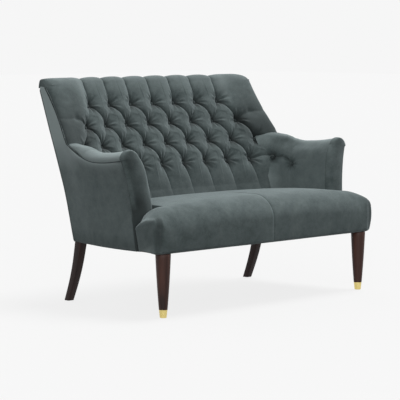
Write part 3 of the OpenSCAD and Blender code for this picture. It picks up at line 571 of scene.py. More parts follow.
half = np.concatenate([[0, 2, 4, 7, 11, 16, 24, 34], np.arange(46, FOAM_HALF - 6, 9.5),
                       [FOAM_HALF + 0.3, FOAM_HALF + 2.5, ARM_IN - 2.4, ARM_IN - 0.1],
                       np.arange(ARM_IN + 6, RAIL_END - 6, 5),
                       RAIL_END + np.array([-3, -1, 0.3, 2, 3.5, 5, 6.5])])
EDGE_R = 7.0


def unit(steps):
    return steps / (np.linalg.norm(steps, axis=1)[:, None] + 1e-9)


def end_rings():
    """The ear's end: the ring draws in along a quarter round, then closes flat."""
    start = SEAT_HALF + 5 - EDGE_R
    ring = seat_ring(start)
    flat = ring[:, 1:]
    ahead, behind = np.roll(flat, -1, 0) - flat, flat - np.roll(flat, 1, 0)
    way = unit(unit(ahead) + unit(behind))
    inward = np.stack([way[:, 1], -way[:, 0]], 1)
    rings = [ring]
    for g in np.radians([18, 36, 54, 72, 90]):
        step = ring.copy()
        step[:, 0] = start + EDGE_R * sin(g)
        step[:, 1:] = flat + inward * EDGE_R * (1 - cos(g))
        rings.append(step)
    return rings


right = np.array([seat_ring(x) for x in half] + end_rings())
rings = np.concatenate([right[:0:-1] * [-1, 1, 1], right])
across, behind, height = np.abs(rings[..., 0]), rings[..., 1], rings[..., 2]
bulge = share(across, RAIL_END, SEAT_HALF) * np.sin(np.pi * share(height, FLOOR_GAP, 392))
tapered = 21 * share(behind, 35, 105) ** 1.3 * share(across, 555, SEAT_HALF)
rings[..., 0] += np.sign(rings[..., 0]) * (13 * bulge - tapered)
# Painted shade on the seat by the arms, along the back, beside the facings and low at the ears' front
# corners; painted light on the ears' end faces.
by_arm = np.exp(-np.clip(ARM_IN - across, 0, 400) / 45) * (across < ARM_IN) * share(behind, 140, 300)
by_back = share(behind, 380, 470) * (across < ARM_IN)
by_facing = share(behind, 55, 105) * share(across, ARM_IN - 4, ARM_IN + 20)
on_corner = bell(across - 604, 11) * (1 - share(behind, -20, 20)) * share(height, FLOOR_GAP, 290)
on_side = share(across, SEAT_HALF + 1, SEAT_HALF + 5) * share(behind, -20, 5)
painted_shade_by = 0.7 * by_arm + 0.5 * by_back + 0.5 * on_corner + 0.6 * by_facing
seat = loft("seat_pad", rings, smooth_angle=42, lie=0.45 * on_side - np.clip(painted_shade_by, 0, 1))
dress(seat, "seat_cover", fill=0.9)
print("seat:", len(seat.data.polygons), "faces")

# %% [markdown]
# The arms start with a path along their tops: the outer seam dips behind the facing, then climbs to
# the wing. The padded roll, the inside sheet and the outside panel all end on that path. They are
# modelled on the right and mirrored in x, since a chair's two arms are a pair.

# %% The arm's path
def behind_y(z):
    return front_y(z) + 12 / cos(LEAN) + 0.3


RUN_START, RUN_END = front_y(SEAM_Z), 512.0


def run(y):
    return share(y, RUN_START, RUN_END)


def roll_level(y):
    u = run(y)
    low = SEAM_Z - 18
    return np.where(u < 0.52, SEAM_Z - 18 * np.sin(np.pi / 2 * np.minimum(u / 0.52, 1)),
                    low + (WING_LOW_Z - low) * share(u, 0.52, 1) ** 1.9)


def roll_height(y):
    return ROLL_UP * np.interp(run(y), [0, 0.45, 0.68, 0.8, 0.92, 1], [0.97, 0.98, 0.9, 0.74, 0.5, 0.34])


def seam_out(y):
    return WING_LOW_X + 37 * (1 - run(y)) ** 1.8


def arm_edge_z(y):
    return np.minimum(roll_level(y) + 8, ARM_TOP_Z)


def roll_mid(y):
    return (seam_out(y) + 5 + ARM_TOP_X) / 2


def roll_half(y):
    return (seam_out(y) + 5 - ARM_TOP_X) / 2


def corner_y(z):
    return face_y(inner_x(z), z) - 0.3


def pair(name, build, nodes, fill=0.8, angle=50):
    for side, word in SIDES:
        *grids, lie = build()
        grids = [g * [side, 1, 1] for g in grids]
        close = slab if len(grids) == 2 else loft
        piece = close(f"{name}_{word}", *grids, smooth_angle=angle, lie=lie)
        dress(piece, *[f"{node}_{word}" for node in nodes], fill=fill)
    print(name, len(piece.data.polygons), "faces each")


print("arm path runs from", round(RUN_START), "to", RUN_END, "mm")

# %% [markdown]
# The inside arm is a padded sheet with one button of its own. The pull of that button and of the one
# in the corner shows as folds: an arc between the two, a crease up to the arm's top, and pleats down
# to the seat. Each fold is a line that pushes the padding in, by 14 mm in the arc and less elsewhere.

# %% Inside arms
ARM_BUTTON_Z = ROW_TOP - 3 * ROW_GAP - 18
ARM_BUTTON_Y = mix(behind_y(ARM_BUTTON_Z), corner_y(ARM_BUTTON_Z), 0.66)
CORNER_Z = ROW_TOP - 3 * ROW_GAP + 6
CORNER_Y = corner_y(CORNER_Z)


def fold(y, z, path, depth, width):
    """A crease along a line of points, deepest at its start and fading to its end."""
    best, fade = np.full(np.shape(y), 1e9), np.zeros(np.shape(y))
    for k, (a, b) in enumerate(zip(path, path[1:])):
        u, gap = to_segment(y, z, *a, *b)
        near = gap < best
        best = np.where(near, gap, best)
        fade = np.where(near, (k + u) / (len(path) - 1), fade)
    return depth * (1 - 0.75 * fade) * section(best, width, 3)


def arm_dents(y, z):
    by, bz = ARM_BUTTON_Y, ARM_BUTTON_Z
    d = np.hypot(y - by, z - bz)
    a = np.arctan2(z - bz, y - by)
    pit = 12 * bell(d, 22, 1.6) + 2.0 * np.cos(8 * a) * bell(d - 22, 12)
    arc = [(by, bz), (by + 25, bz + 20), (by + 60, bz + 30), (CORNER_Y - 6, CORNER_Z)]
    to_seat = [(CORNER_Y, CORNER_Z), (CORNER_Y - 26, CORNER_Z - 70), (CORNER_Y - 30, CORNER_Z - 160)]
    folds = [(arc, 14, 5), (arc[::-1], 12, 5), (to_seat, 4, 5),
             ([(by, bz), (by - 4, bz - 60), (by - 2, bz - 150)], 4, 5),
             ([(by, bz), (by + 10, bz + 45), (by + 12, bz + 95)], 5, 5),
             ([(by, bz), (by - 40, bz + 22), (by - 85, bz + 26)], 2.5, 6)]
    dent = np.maximum(pit, np.max([fold(y, z, *one) for one in folds], axis=0))
    return dent + 0.35 * np.exp(-np.abs(y - 200) / 1.8)


print("arm's button at", round(ARM_BUTTON_Y), round(ARM_BUTTON_Z),
      "corner's at", round(CORNER_Y), round(CORNER_Z))

# %% [markdown]
# One cover goes up the inside of the arm, over its roll and down to the outer seam. Its section
# follows the leaning inner face and then part of an ellipse, and it is lofted along the arm. At the
# back it turns into the corner in a cove, wider towards the arm's top, and the corner's button pulls
# it in again. The cover's end is tucked behind the back's face, so no edge shows.

# %% Arm covers
CORNER_S = 0.91
COVER_START, COVER_END = behind_y(ARM_TOP_Z), corner_y(ARM_TOP_Z)
ROWS_BY_EDGE = slice(72, 90)


def arm_cover():
    cols = np.concatenate([np.linspace(0, CORNER_S, 90), np.linspace(CORNER_S, 1, 14)[1:]])
    s, f = np.meshgrid(cols, np.linspace(0, 1, 80))
    y0 = mix(COVER_START, COVER_END, s)
    z = mix(TUCK_Z, arm_edge_z(y0), f)
    pulled = 0.85 * bell(z - CORNER_Z, 19)
    cove = np.maximum(3, (34 + 34 * share(z, CORNER_Z, ARM_TOP_Z)) * (1 - pulled))
    y = mix(behind_y(z), corner_y(z) - cove, share(s, 0, CORNER_S))
    turn = np.pi / 2 * share(s, CORNER_S, 1)
    y = y + cove * np.sin(turn) + 0.55 * cove * (turn / np.pi * 2) ** 2
    puff = 3.5 * np.sin(np.pi * share(s, 0, CORNER_S)) * np.sin(np.pi * f)
    x = inner_x(z) + 0.3 + arm_dents(y, z) - puff
    x = x + rim(y - behind_y(z), 2.5) + 0.5 * slack(y, z) - cove * (1 - np.cos(turn))
    inner_side = xyz(x, y, z)
    s, g = np.meshgrid(cols, np.radians(np.linspace(150, 0, 32)))
    y = mix(COVER_START, COVER_END, s)
    across = share(roll_mid(y) + roll_half(y) * np.cos(g), ARM_TOP_X, WING_LOW_X)
    stop = mix(COVER_END, RUN_END - 15, across)
    level_y = mix(y, stop, share(s, 0.8, 1))
    drawn = rim(y - COVER_START, 4) * 0.7
    seam = 2.5 * bell(g, radians(9))
    x = roll_mid(y) + (roll_half(y) - drawn - seam) * np.cos(g)
    z = roll_level(level_y) + 0.3 + (roll_height(level_y) - drawn) * np.sin(g) + 0.4 * slack(y, x * 2)
    stop = mix(COVER_END, RUN_END - 15, share(x, ARM_TOP_X, WING_LOW_X))
    on_wing = (x < edge_x(z)) & (z > ARM_TOP_Z)
    end = np.where(on_wing, face_y(x, z) + wing_curl(x, z) + 14, stop)
    lean = behind_y(z) - COVER_START
    y = mix(y + lean * (1 - s), end, share(s, 0.8, 1) ** 2)
    cove = 68 * share(g, radians(30), radians(150))
    turn = np.pi / 2 * share(s, CORNER_S, 1)
    x = x - cove * (1 - np.cos(turn))
    y = y - cove * (share(s, 0, CORNER_S) - np.sin(turn) - 0.55 * (turn / np.pi * 2) ** 2)
    outer = np.concatenate([inner_side, xyz(x, y, z)])
    for k in range(12):
        soft = outer.copy()
        soft[1:-1] = (outer[:-2] + 2 * outer[1:-1] + outer[2:]) / 4
        outer[ROWS_BY_EDGE] = soft[ROWS_BY_EDGE]
    c, f = np.meshgrid(np.linspace(0, 1, 8), np.array([0, 0.5, 0.78, 1]))
    y0 = mix(COVER_START, COVER_END, c)
    z = mix(TUCK_Z, arm_edge_z(y0) - 6, f)
    low = xyz(inner_x(z) + 28.3 + 22 * f ** 4, mix(behind_y(z), corner_y(z) + 12, c), z)
    rows = outer[-1:, np.round(np.linspace(0, len(cols) - 1, 8)).astype(int)] - [9, 0, 6]
    x, y, z = np.moveaxis(outer, -1, 0)
    # Painted light over the cover, less higher up its inside, with a painted highlight on the roll's outer
    # top that fades towards the back, and painted shade round the two buttons and in the folds.
    rise = share(z, CORNER_Z, ARM_TOP_Z)
    over = share(x, 555, 590)
    button = bell(np.hypot(y - ARM_BUTTON_Y, z - ARM_BUTTON_Z), 20, 1.8) * (x < 560)
    corner = bell(np.hypot(y - CORNER_Y, z - CORNER_Z), 27, 1.8)
    dents = np.clip(arm_dents(y, z) - 2, 0, 8) * (1 - over)
    crown = 0.5 * over * (1 - 0.9 * share(y, 430, 495))
    lie = 0.2 - 0.12 * rise + crown - np.maximum(np.maximum(button, corner), 0.09 * dents)
    return outer, np.concatenate([low, rows]), lie


pair("arm_cover", arm_cover, ["inside_arm", "arm_pad"], angle=60)

# %% [markdown]
# The facing closes the arm's front: a flared, padded shape that leans back. It is lofted up its
# length, with one ring across it at each level, crowned in front and flat behind. Its inner half
# gets painted light and its outer half painted shade, though only faintly on the right facing, with
# painted shade low down and a little painted light at the top. The rounded outer edge is painted
# to about the tone of the outside panel beside it.

# %% Facings
FLARE = 46


def front_outer_x(z):
    f = share(z, FLOOR_GAP, SEAM_Z)
    return FRONT_FOOT_X + 0.35 * FLARE * f + 0.65 * FLARE * f ** 3.5


def facing_inner_x(z):
    return np.where(z < TUCK_Z, ARM_IN + 82, inner_x(z) + 0.3)


def facing_edge(x_at, top, start, end):
    """One edge of the facing: up to the roll by a rule for x, then round a part of the roll."""
    low = FLOOR_GAP + 12 * sin(LEAN)
    z = np.concatenate([[low, TUCK_Z - 0.01], np.linspace(TUCK_Z, top, 58)])
    g = np.radians(np.linspace(start, end, 26))
    x = np.concatenate([x_at(z), roll_mid(RUN_START) + roll_half(RUN_START) * np.cos(g)])
    return x, np.concatenate([z, SEAM_Z + ROLL_UP * np.sin(g)])


def facing():
    x_in, z_in = facing_edge(facing_inner_x, arm_edge_z(RUN_START), 165, 88)
    x_out, z_out = facing_edge(front_outer_x, SEAM_Z - 2, 0, 86)
    back = np.array([1, 0.5, 0])
    v = np.concatenate([[0, 0.015, 0.04, 0.08], np.linspace(0.14, 0.86, 11), [0.92, 0.96, 0.985, 1]])
    rings = []
    for xi, zi, xo, zo in zip(x_in, z_in, x_out, z_out):
        width = hypot(xo - xi, zo - zi)
        x, z = mix(xi, xo, v), mix(zi, zo, v)
        d = np.minimum(v, 1 - v) * width
        y = front_y(z) + rim(d, min(11.5, width / 2)) - 9 * np.sin(np.pi * v) * min(1, width / 40)
        xb, zb = mix(xi, xo, back), mix(zi, zo, back)
        x, y, z = np.append(x, xb), np.append(y, behind_y(zb) - 0.3), np.append(z, zb)
        rings.append(xyz(x, y, z))
    rings = np.array(rings)
    across = np.broadcast_to(np.append(v, back), rings.shape[:2])
    # Painted light on the inner half and painted shade on the outer, with a random mottle.
    lie = mix(0.35, -0.4, share(across, 0, 0.45)) + 0.16 * slack(rings[..., 0] * 3, rings[..., 2] * 2)
    z = rings[..., 2]
    # More painted light at the top, and painted shade low down by the seat.
    lie = lie + 0.2 * share(z, SEAM_Z, ARM_H) - 0.4 * (1 - share(z, 430, 500))
    # The rounded outer edge is painted to about the outside panel's tone.
    return rings, mix(lie, 0.03, share(across, 0.84, 0.93) * share(z, 400, 440))


pair("facing_pad", facing, ["arm_facing"], angle=60)
# The right facing's painted light and shade are cut to three tenths.
toned_down = made[-1].data.attributes["pile_lie"].data
for point in toned_down:
    point.value *= 0.3
print("right facing's pile is brushed flat at", len(toned_down), "points")

# %% [markdown]
# The outside is plain: one panel runs from the facing round to the back's corner and up the wing,
# and one closes the back. Both are cloth over a stiff lining, pulled tight, with a faint hollow
# between their edges. Their edges draw in where they are sewn.

# %% Outside panels
TURN, TOP = 0.7, 0.93
PANEL_LONG, PANEL_HIGH = 480, 330


def seam_line(c):
    y = mix(behind_y(SEAM_Z), RUN_END + 1.6, share(c, 0, TURN))
    z = mix(WING_LOW_Z, CORNER_TOP_Z - 6, share(c, TURN, TOP))
    zt = CORNER_TOP_Z - 1
    last = np.array([rear_line_x(zt), rear_line_y(zt) - 6.2, zt])
    arm = xyz(seam_out(y), y, roll_level(y) - 0.3)
    wing = xyz(seam_x(z), seam_y(z) + 1.6, z - 0.3)
    line = np.where((c <= TURN)[..., None], arm, wing)
    return mix(line, last, share(c, TOP, 1)[..., None])


def panel(c, f):
    high = seam_line(c)
    level = np.full_like(c, FLOOR_GAP)
    foot = xyz(mix(FRONT_FOOT_X, REAR_FOOT_X, c), mix(behind_y(FLOOR_GAP), 549.8, c), level)
    w = np.clip(0.35 + c, 0, 1)
    z = mix(foot[..., 2], high[..., 2], f)
    y = mix(foot[..., 1], high[..., 1], f) - c ** 2 * rear_bow(f)
    y = mix(behind_y(z), y, share(c, 0, 0.06))
    x = mix(foot[..., 0], high[..., 0], w * f + (1 - w) * f ** 7) + 11 * c * np.sin(np.pi * f)
    return xyz(x, y, z)


def outside_arm():
    c, f = np.meshgrid(np.linspace(0, 1, 110), np.linspace(0, 1, 90))
    outer = panel(c, f)
    for k in range(160):
        outer[1:-1, 1:-1] = (outer[1:-1, :-2] + outer[1:-1, 2:] + outer[:-2, 1:-1] + outer[2:, 1:-1]) / 4
    outer[..., 2] -= 4 * np.sin(np.pi * c) * (1 - f) ** 3
    _, y, z = np.moveaxis(outer, -1, 0)
    below = (1 - f) * PANEL_HIGH
    k = below / 15
    outer[..., 0] += 6 * k * np.exp(1 - k) * share(c, 0, 0.1) * (1 - share(c, 0.6, 0.75))
    to_edge = np.minimum(np.minimum(f, 1 - f) * PANEL_HIGH, c * PANEL_LONG)
    outer[..., 0] -= rim(to_edge, 4.5) - 0.6 * slack(y, z)
    # Painted light in a band under the roll and on the strip beside the wing, painted shade along the front
    # edge by the facing, and darker towards the hem.
    under_roll = bell(below, 26) * (1 - share(c, 0.6, 0.72))
    beside_wing = share(z, 530, 660) * share(y, 390, 470)
    at_front = bell(c * PANEL_LONG, 5) * (1 - share(z, 400, 440))
    by_hem = 0.4 * (1 - share(z, FLOOR_GAP, FLOOR_GAP + 60))
    lie = 0.1 + 0.5 * under_roll + 0.9 * beside_wing - by_hem - 0.7 * at_front
    return outer, panel(*np.meshgrid(np.linspace(0, 1, 23), np.linspace(0, 1, 10))) - [5, 0, 0], lie


pair("outside_arm_panel", outside_arm, ["outside_arm"], fill=1.0)


def back_panel(c, z):
    x = c * rear_line_x(z)
    return xyz(x, outside_y(x, z), z)


TOP_Z = PANEL_TOP - 1.8
c, z = np.meshgrid(np.linspace(-1, 1, 140), np.linspace(TOP_Z, FLOOR_GAP, 80))
outer = back_panel(c, z)
to_edge = np.minimum((1 - np.abs(c)) * 550 + 2, np.minimum(TOP_Z - z, z - FLOOR_GAP))
outer[..., 1] -= rim(to_edge, 4.5) - 0.8 * slack(outer[..., 0], z)
c, z = np.meshgrid(np.linspace(-1, 1, 17), np.linspace(TOP_Z, FLOOR_GAP, 9))
outside_back = slab("outside_back_panel", outer, back_panel(c, z) - [0, 5, 0])
dress(outside_back, "outside_back", fill=1.0)
print("outside back:", len(outside_back.data.polygons), "faces")

# %% [markdown]
# A welt is a thin cord wrapped in the cover's cloth and caught in a seam. One goes round each facing,
# in the seam behind its rounded edge, and one lies in the seam under the arm's roll and up the wing to
# the top corner.

# %% Welts
WELT_R = 2.2


def tube(path, lie, sides=10):
    way = unit(np.gradient(path, axis=0))
    u = unit(np.cross(way, [0, -1, 0.05]))
    w = np.cross(u, way)
    a = np.linspace(0, 2 * np.pi, sides, endpoint=False)[:, None]
    rings = path[:, None] + WELT_R * (np.cos(a) * u[:, None] + np.sin(a) * w[:, None])
    return rings, np.full(rings.shape[:2], lie)


def facing_welt():
    z1 = np.linspace(376, SEAM_Z - 2, 50)
    one = xyz(front_outer_x(z1) - 1.2, z1)
    g = np.radians(np.linspace(6, 174, 60))
    over = roll_mid(RUN_START) + (roll_half(RUN_START) - 1.6) * np.cos(g)
    two = xyz(over, SEAM_Z + (ROLL_UP - 1.6) * np.sin(g))
    z3 = np.linspace(arm_edge_z(RUN_START) - 8, 432, 40)
    three = xyz(inner_x(z3) + 2.2, z3)
    line = np.concatenate([one, two, three])
    path = xyz(line[:, 0], behind_y(line[:, 1]) - 0.5, line[:, 1])
    # The facing's welt gets a little painted shade.
    return tube(path, -0.2)


def seam_welt():
    c = np.concatenate([np.linspace(0.004, TURN, 90), np.linspace(TURN, TOP, 60)[1:]])
    path = seam_line(c)
    path = path + np.where((c < TURN)[:, None], [0.6, 0, -1.2], [0.8, 1.2, 0])
    # The seam's welt gets painted shade, as a dark line in the seam.
    return tube(path, -0.7, 8)


pair("facing_welt", facing_welt, ["arm_welt"], fill=None)
pair("seam_welt", seam_welt, ["arm_welt"], fill=None)

# %% [markdown]
# A button is a tin shell covered in the same cloth: a low dome whose cloth gathers round its rim.
# It is modelled once from a circle, extruded and scaled ring by ring, then copied to each dimple and
# turned to face out of it.

# %% Buttons
def face_outwards():
    bpy.ops.mesh.select_all(action="SELECT")
    bpy.ops.mesh.normals_make_consistent(inside=False)


def grow_ring(way, factor):
    bpy.ops.mesh.extrude_region_move(TRANSFORM_OT_translate={"value": way})
    bpy.ops.transform.resize(value=(factor, factor, 1))


def turned(name, place, vertices, radius, steps):
    """A disc that is extruded upwards and scaled, once for each step of rise and factor."""
    bpy.ops.mesh.primitive_circle_add(vertices=vertices, radius=radius, fill_type="NGON", location=place)
    piece = bpy.context.object
    piece.name = name
    bpy.ops.object.mode_set(mode="EDIT")
    bpy.ops.mesh.select_all(action="SELECT")
    for rise, factor in steps:
        grow_ring((0, 0, rise), factor)
    face_outwards()
    bpy.ops.object.mode_set(mode="OBJECT")
    return piece


def apply_place(piece):
    select_only(piece)
    bpy.ops.object.transform_apply(location=True, rotation=True, scale=True)


button = turned("button", (0, 0, 0), 28, 0.0084,
                [(0.0008, 1.1), (0.0012, 1.03), (0.0016, 0.99), (0.0014, 0.93), (0.0011, 0.86),
                 (0.0007, 0.76), (0.0004, 0.6), (0.0002, 0.45), (0.0001, 0.3)])
# Painted shade on the button, darker towards its rim, as it sits deep in its dimple.
painted_dark = button.data.attributes.new("pile_lie", "FLOAT", "POINT").data
for vertex in button.data.vertices:
    a = atan2(vertex.co.y, vertex.co.x)
    r = hypot(vertex.co.x, vertex.co.y)
    vertex.co.z += 0.00022 * sin(14 * a) * max(0, r - 0.006) / 0.003
    painted_dark[vertex.index].value = -0.45 - 40 * r
bpy.ops.object.shade_smooth()
print("button:", len(button.data.polygons), "faces, 19 mm across")


def set_button(name, place, turn, node):
    copy = bpy.data.objects.new(name, button.data.copy())
    scene.collection.objects.link(copy)
    copy.location = in_frame(place)
    copy.rotation_euler = turn
    apply_place(copy)
    made.append(copy)
    dress(copy, node)


SUNK = 6.0
count = 0
for row in range(4):
    for s in np.arange(-last_column(row), last_column(row) + 0.5):
        x, z = s * BUTTON_GAP, ROW_TOP - row * ROW_GAP
        turn = atan(95 * (0.08 * x / WING_TOP_X ** 2 + 3.84 * x ** 3 / WING_TOP_X ** 4))
        place = (x, base_y(x, z) + SUNK * RAKE_COS, z - SUNK * RAKE_SIN)
        set_button(f"back_button_{count:02d}", place, (pi / 2 - RAKE, 0, -turn), "back_buttons")
        count += 1
for side, word in SIDES:
    place = (side * (inner_x(ARM_BUTTON_Z) + 10.5), ARM_BUTTON_Y, ARM_BUTTON_Z)
    set_button(f"arm_button_{word}", place, (0, -side * pi / 2, 0), "arm_buttons")
    place = (side * (inner_x(CORNER_Z) - 5.4), CORNER_Y - 1.8, CORNER_Z)
    set_button(f"corner_button_{word}", place, (pi / 2, 0, -side * pi / 4), "arm_buttons")
bpy.data.objects.remove(button)
print(count, "buttons on the back, 4 on the arms")

# %% [markdown]
# The front legs are turned: each starts as a circle inside its ferrule and grows upwards ring by
# ring. The rear legs are sawn from the square: a square foot is extruded along a line that bows
# forwards, and their long edges are then bevelled, since a sharp wooden edge catches no light.

# %% Legs
LEG_X, LEG_LONG = 0.565, 0.246
REAR_X, REAR_Y = 0.5187, 0.53229
LEG_TOP, LEG_FOOT = 0.036, 0.028


def hard(piece, angle, node, slot):
    """Smooth the faces of a piece without cloth up to an angle, and say what it is."""
    bpy.ops.object.shade_smooth_by_angle(angle=radians(angle))
    apply_place(piece)
    made.append(piece)
    dress(piece, node, slot=slot)


def front_leg(side, word):
    levels = [(0.0013, 0.0124), (0.0305, 0.0159), (0.0310, 0.0168)]
    for k in range(1, 13):
        swell = 0.0012 * sin(pi * k / 12)
        levels.append((mix(0.0311, 0.2440, k / 12), mix(0.01684, 0.030, k / 12) + swell))
    levels.append((0.2457, 0.0292))
    steps = [(high - low, wide / thin) for (low, thin), (high, wide) in zip(levels, levels[1:])]
    place = (side * LEG_X, -MIDDLE_Y / 1000, levels[0][0])
    leg = turned(f"front_leg_{word}_turned", place, 64, levels[0][1], steps)
    hard(leg, 40, f"front_leg_{word}", "walnut")


def rear_leg(side, word):
    steps = 12

    def centre(f):
        return REAR_Y + 0.077 * f - 0.009 * sin(pi * f) - MIDDLE_Y / 1000

    bpy.ops.mesh.primitive_plane_add(size=LEG_FOOT, location=(side * REAR_X, centre(1), 0))
    leg = bpy.context.object
    leg.name = f"rear_leg_{word}_sawn"
    bpy.ops.object.mode_set(mode="EDIT")
    bpy.ops.mesh.select_all(action="SELECT")
    for k in range(1, steps + 1):
        f, g = 1 - k / steps, 1 - (k - 1) / steps
        factor = mix(LEG_TOP, LEG_FOOT, f) / mix(LEG_TOP, LEG_FOOT, g)
        grow_ring((0, centre(f) - centre(g), LEG_LONG / steps), factor)
    face_outwards()
    bpy.ops.mesh.select_mode(type="EDGE")
    bpy.ops.mesh.select_all(action="DESELECT")
    form = bmesh.from_edit_mesh(leg.data)
    for edge in form.edges:
        way = edge.verts[1].co - edge.verts[0].co
        edge.select = abs(way.z) > 0.7 * way.length
    bmesh.update_edit_mesh(leg.data)
    bpy.ops.mesh.bevel(offset=0.0028, segments=3)
    bpy.ops.object.mode_set(mode="OBJECT")
    hard(leg, 35, f"rear_leg_{word}", "walnut")


for side, word in SIDES:
    front_leg(side, word)
    rear_leg(side, word)
print("four legs,", LEG_LONG, "m long")

# %% [markdown]
# A ferrule is a thin metal cup pressed over the leg's tip. It is made from its outer wall, extruded
# up, then the rim is turned inwards and the inner wall extruded down again, so the metal has a real
# thickness and its edge catches the light.

# %% Ferrules
for side, word in SIDES:
    cup = turned(f"ferrule_{word}_cup", (side * LEG_X, -MIDDLE_Y / 1000, 0), 64, 0.0122,
                 [(0.0003, 1.03), (0.0007, 1.05), (0.014, 1.113), (0.0150, 1.113), (0.0006, 1.016),
                  (0.0003, 0.995), (0.0001, 0.975), (-0.0004, 0.99), (-0.0290, 0.765)])
    hard(cup, 35, f"ferrule_{word}", "brass")
print("ferrules:", [round(v * 1000) for v in cup.dimensions], "mm")

# %% [markdown]
# The finishes come next. Cloth, wood and metal each vary a little all over, and that variation is
# what tells them from plastic. One group gives an uneven patchiness with a fine grain, and cloth,
# webbing, foam and metal use it with their own scales. Another gives the stretched rings of wood.

# %% Shared effects
def give(n, values):
    """Set a node's inputs, each by its name."""
    for label, value in values.items():
        n.inputs[label].default_value = value


def node(tree, kind, inputs=None, **settings):
    n = tree.nodes.new("ShaderNode" + kind)
    for key, value in settings.items():
        setattr(n, key, value)
    give(n, inputs or {})
    return n


def wire(tree, *links):
    """Each link is a node and its output, then a node and its input."""
    for a, output, b, label in links:
        tree.links.new(a.outputs[output], b.inputs[label])


def group(name, inputs, outputs):
    """A group of nodes with number sockets, then the nodes at its two ends."""
    tree = bpy.data.node_groups.new(name, "ShaderNodeTree")
    for way, labels in (("INPUT", inputs), ("OUTPUT", outputs)):
        for label in labels:
            tree.interface.new_socket(name=label, in_out=way, socket_type="NodeSocketFloat")
    return tree, tree.nodes.new("NodeGroupInput"), tree.nodes.new("NodeGroupOutput")


patches, given, out = group("patchiness", ["Patch scale", "Grain scale", "Grain share"],
                            ["Patches", "Grain"])
where = node(patches, "TexCoord")
broad = node(patches, "TexNoise", {"Detail": 5, "Roughness": 0.78})
fine = node(patches, "TexNoise", {"Detail": 2})
blend = node(patches, "Mix", data_type="FLOAT")
wire(patches, (where, "Object", broad, "Vector"), (where, "Object", fine, "Vector"),
     (given, "Patch scale", broad, "Scale"), (given, "Grain scale", fine, "Scale"),
     (given, "Grain share", blend, "Factor"), (broad, "Fac", blend, "A"), (fine, "Fac", blend, "B"),
     (blend, "Result", out, "Patches"), (fine, "Fac", out, "Grain"))

grain, given, out = group("wood_grain", ["Ring scale", "Stretch"], ["Rings", "Pores"])
where = node(grain, "TexCoord")
along = node(grain, "CombineXYZ", {"X": 1, "Y": 1})
stretch = node(grain, "VectorMath", operation="MULTIPLY")
year_rings = node(grain, "TexNoise", {"Detail": 5, "Distortion": 1.2})
pores = node(grain, "TexNoise", {"Scale": 420})
wire(grain, (given, "Stretch", along, "Z"), (where, "Object", stretch, 0), (along, "Vector", stretch, 1),
     (stretch, "Vector", year_rings, "Vector"), (stretch, "Vector", pores, "Vector"),
     (given, "Ring scale", year_rings, "Scale"), (year_rings, "Fac", out, "Rings"),
     (pores, "Fac", out, "Pores"))
print("groups:", [g.name for g in bpy.data.node_groups])

# %% [markdown]
# Velvet has a short pile that points in different ways, so it shows soft lighter and darker patches
# and a pale sheen where it turns away. Painted light and shade were stored at each point with the
# shapes above: they mix the colour towards a darker or a paler cloth. The rear legs get a darker
# walnut, as painted shade under the seat.

# %% Finishes
def srgb(r, g, b):
    parts = [v / 255 for v in (r, g, b)]
    return tuple(v / 12.92 if v <= 0.04045 else ((v + 0.055) / 1.055) ** 2.4 for v in parts) + (1,)


def plain(name):
    """A new material, its tree of nodes and its shader."""
    material = bpy.data.materials.new(name)
    material.use_nodes = True
    return material, material.node_tree, material.node_tree.nodes["Principled BSDF"]


def finish(name, effect, scales, dark, light, rough, bump, own=None):
    """A material whose colour and roughness follow a group's first output, and its relief the second."""
    material, tree, shader = plain(name)
    give(shader, own or {})
    pattern = node(tree, "Group", node_tree=effect)
    for socket, value in zip(pattern.inputs, scales):
        socket.default_value = value
    colours = node(tree, "ValToRGB")
    low, high = colours.color_ramp.elements
    low.position, high.position = 0.3, 0.7
    low.color, high.color = srgb(*dark), srgb(*light)
    spread = node(tree, "MapRange", {"To Min": rough[0], "To Max": rough[1]})
    height = node(tree, "Bump", {"Strength": bump[0], "Distance": bump[1]})
    wire(tree, (pattern, 0, colours, "Fac"), (colours, "Color", shader, "Base Color"),
         (pattern, 0, spread, "Value"), (spread, "Result", shader, "Roughness"),
         (pattern, 1, height, "Height"), (height, "Normal", shader, "Normal"))
    return material


WOOD, LACQUER, WEAVE = (34, 0.07), ((0.35, 0.55), (0.25, 0.0004)), ((0.85, 1.0), (0.8, 0.001))
# A name, a group and its scales, the dark and the pale colour, the roughness's two ends, the relief's
# strength and depth in metres, and the shader's own settings.
rows = [
    ("velvet", patches, (16, 700, 0.25), (47, 57, 57), (88, 98, 98), (0.75, 0.95), (0.35, 0.0008),
     {"Sheen Weight": 0.45, "Sheen Roughness": 0.5, "Sheen Tint": srgb(185, 198, 200),
      "Specular IOR Level": 0.2}),
    ("walnut", grain, WOOD, (36, 20, 17), (74, 46, 38), *LACQUER, {"Specular IOR Level": 0.25}),
    # A darker walnut for the rear legs, as painted shade for their place under the seat.
    ("dark_walnut", grain, WOOD, (24, 14, 13), (48, 31, 28), *LACQUER, {"Specular IOR Level": 0.2}),
    ("brass", patches, (60, 1400, 0.2), (206, 184, 106), (238, 220, 152), (0.2, 0.36), (0.08, 0.0002),
     {"Metallic": 1}),
    ("beech", grain, (24, 0.1), (196, 160, 116), (222, 190, 148), (0.5, 0.7), (0.2, 0.0004)),
    ("spring_steel", patches, (40, 1000, 0.3), (120, 122, 126), (168, 170, 174), (0.25, 0.45),
     (0.1, 0.0002), {"Metallic": 1}),
    ("foam", patches, (30, 500, 0.5), (214, 208, 178), (236, 231, 206), (0.9, 1.0), (0.8, 0.001)),
    ("hessian", patches, (20, 600, 0.6), (112, 92, 62), (164, 138, 98), *WEAVE),
    ("black_cloth", patches, (15, 800, 0.4), (16, 16, 18), (34, 34, 37), (0.85, 1.0), (0.4, 0.0006))]
by_slot = {row[0]: finish(*row) for row in rows}

tree = by_slot["velvet"].node_tree
shader = tree.nodes["Principled BSDF"]
colours = shader.inputs["Base Color"].links[0].from_node
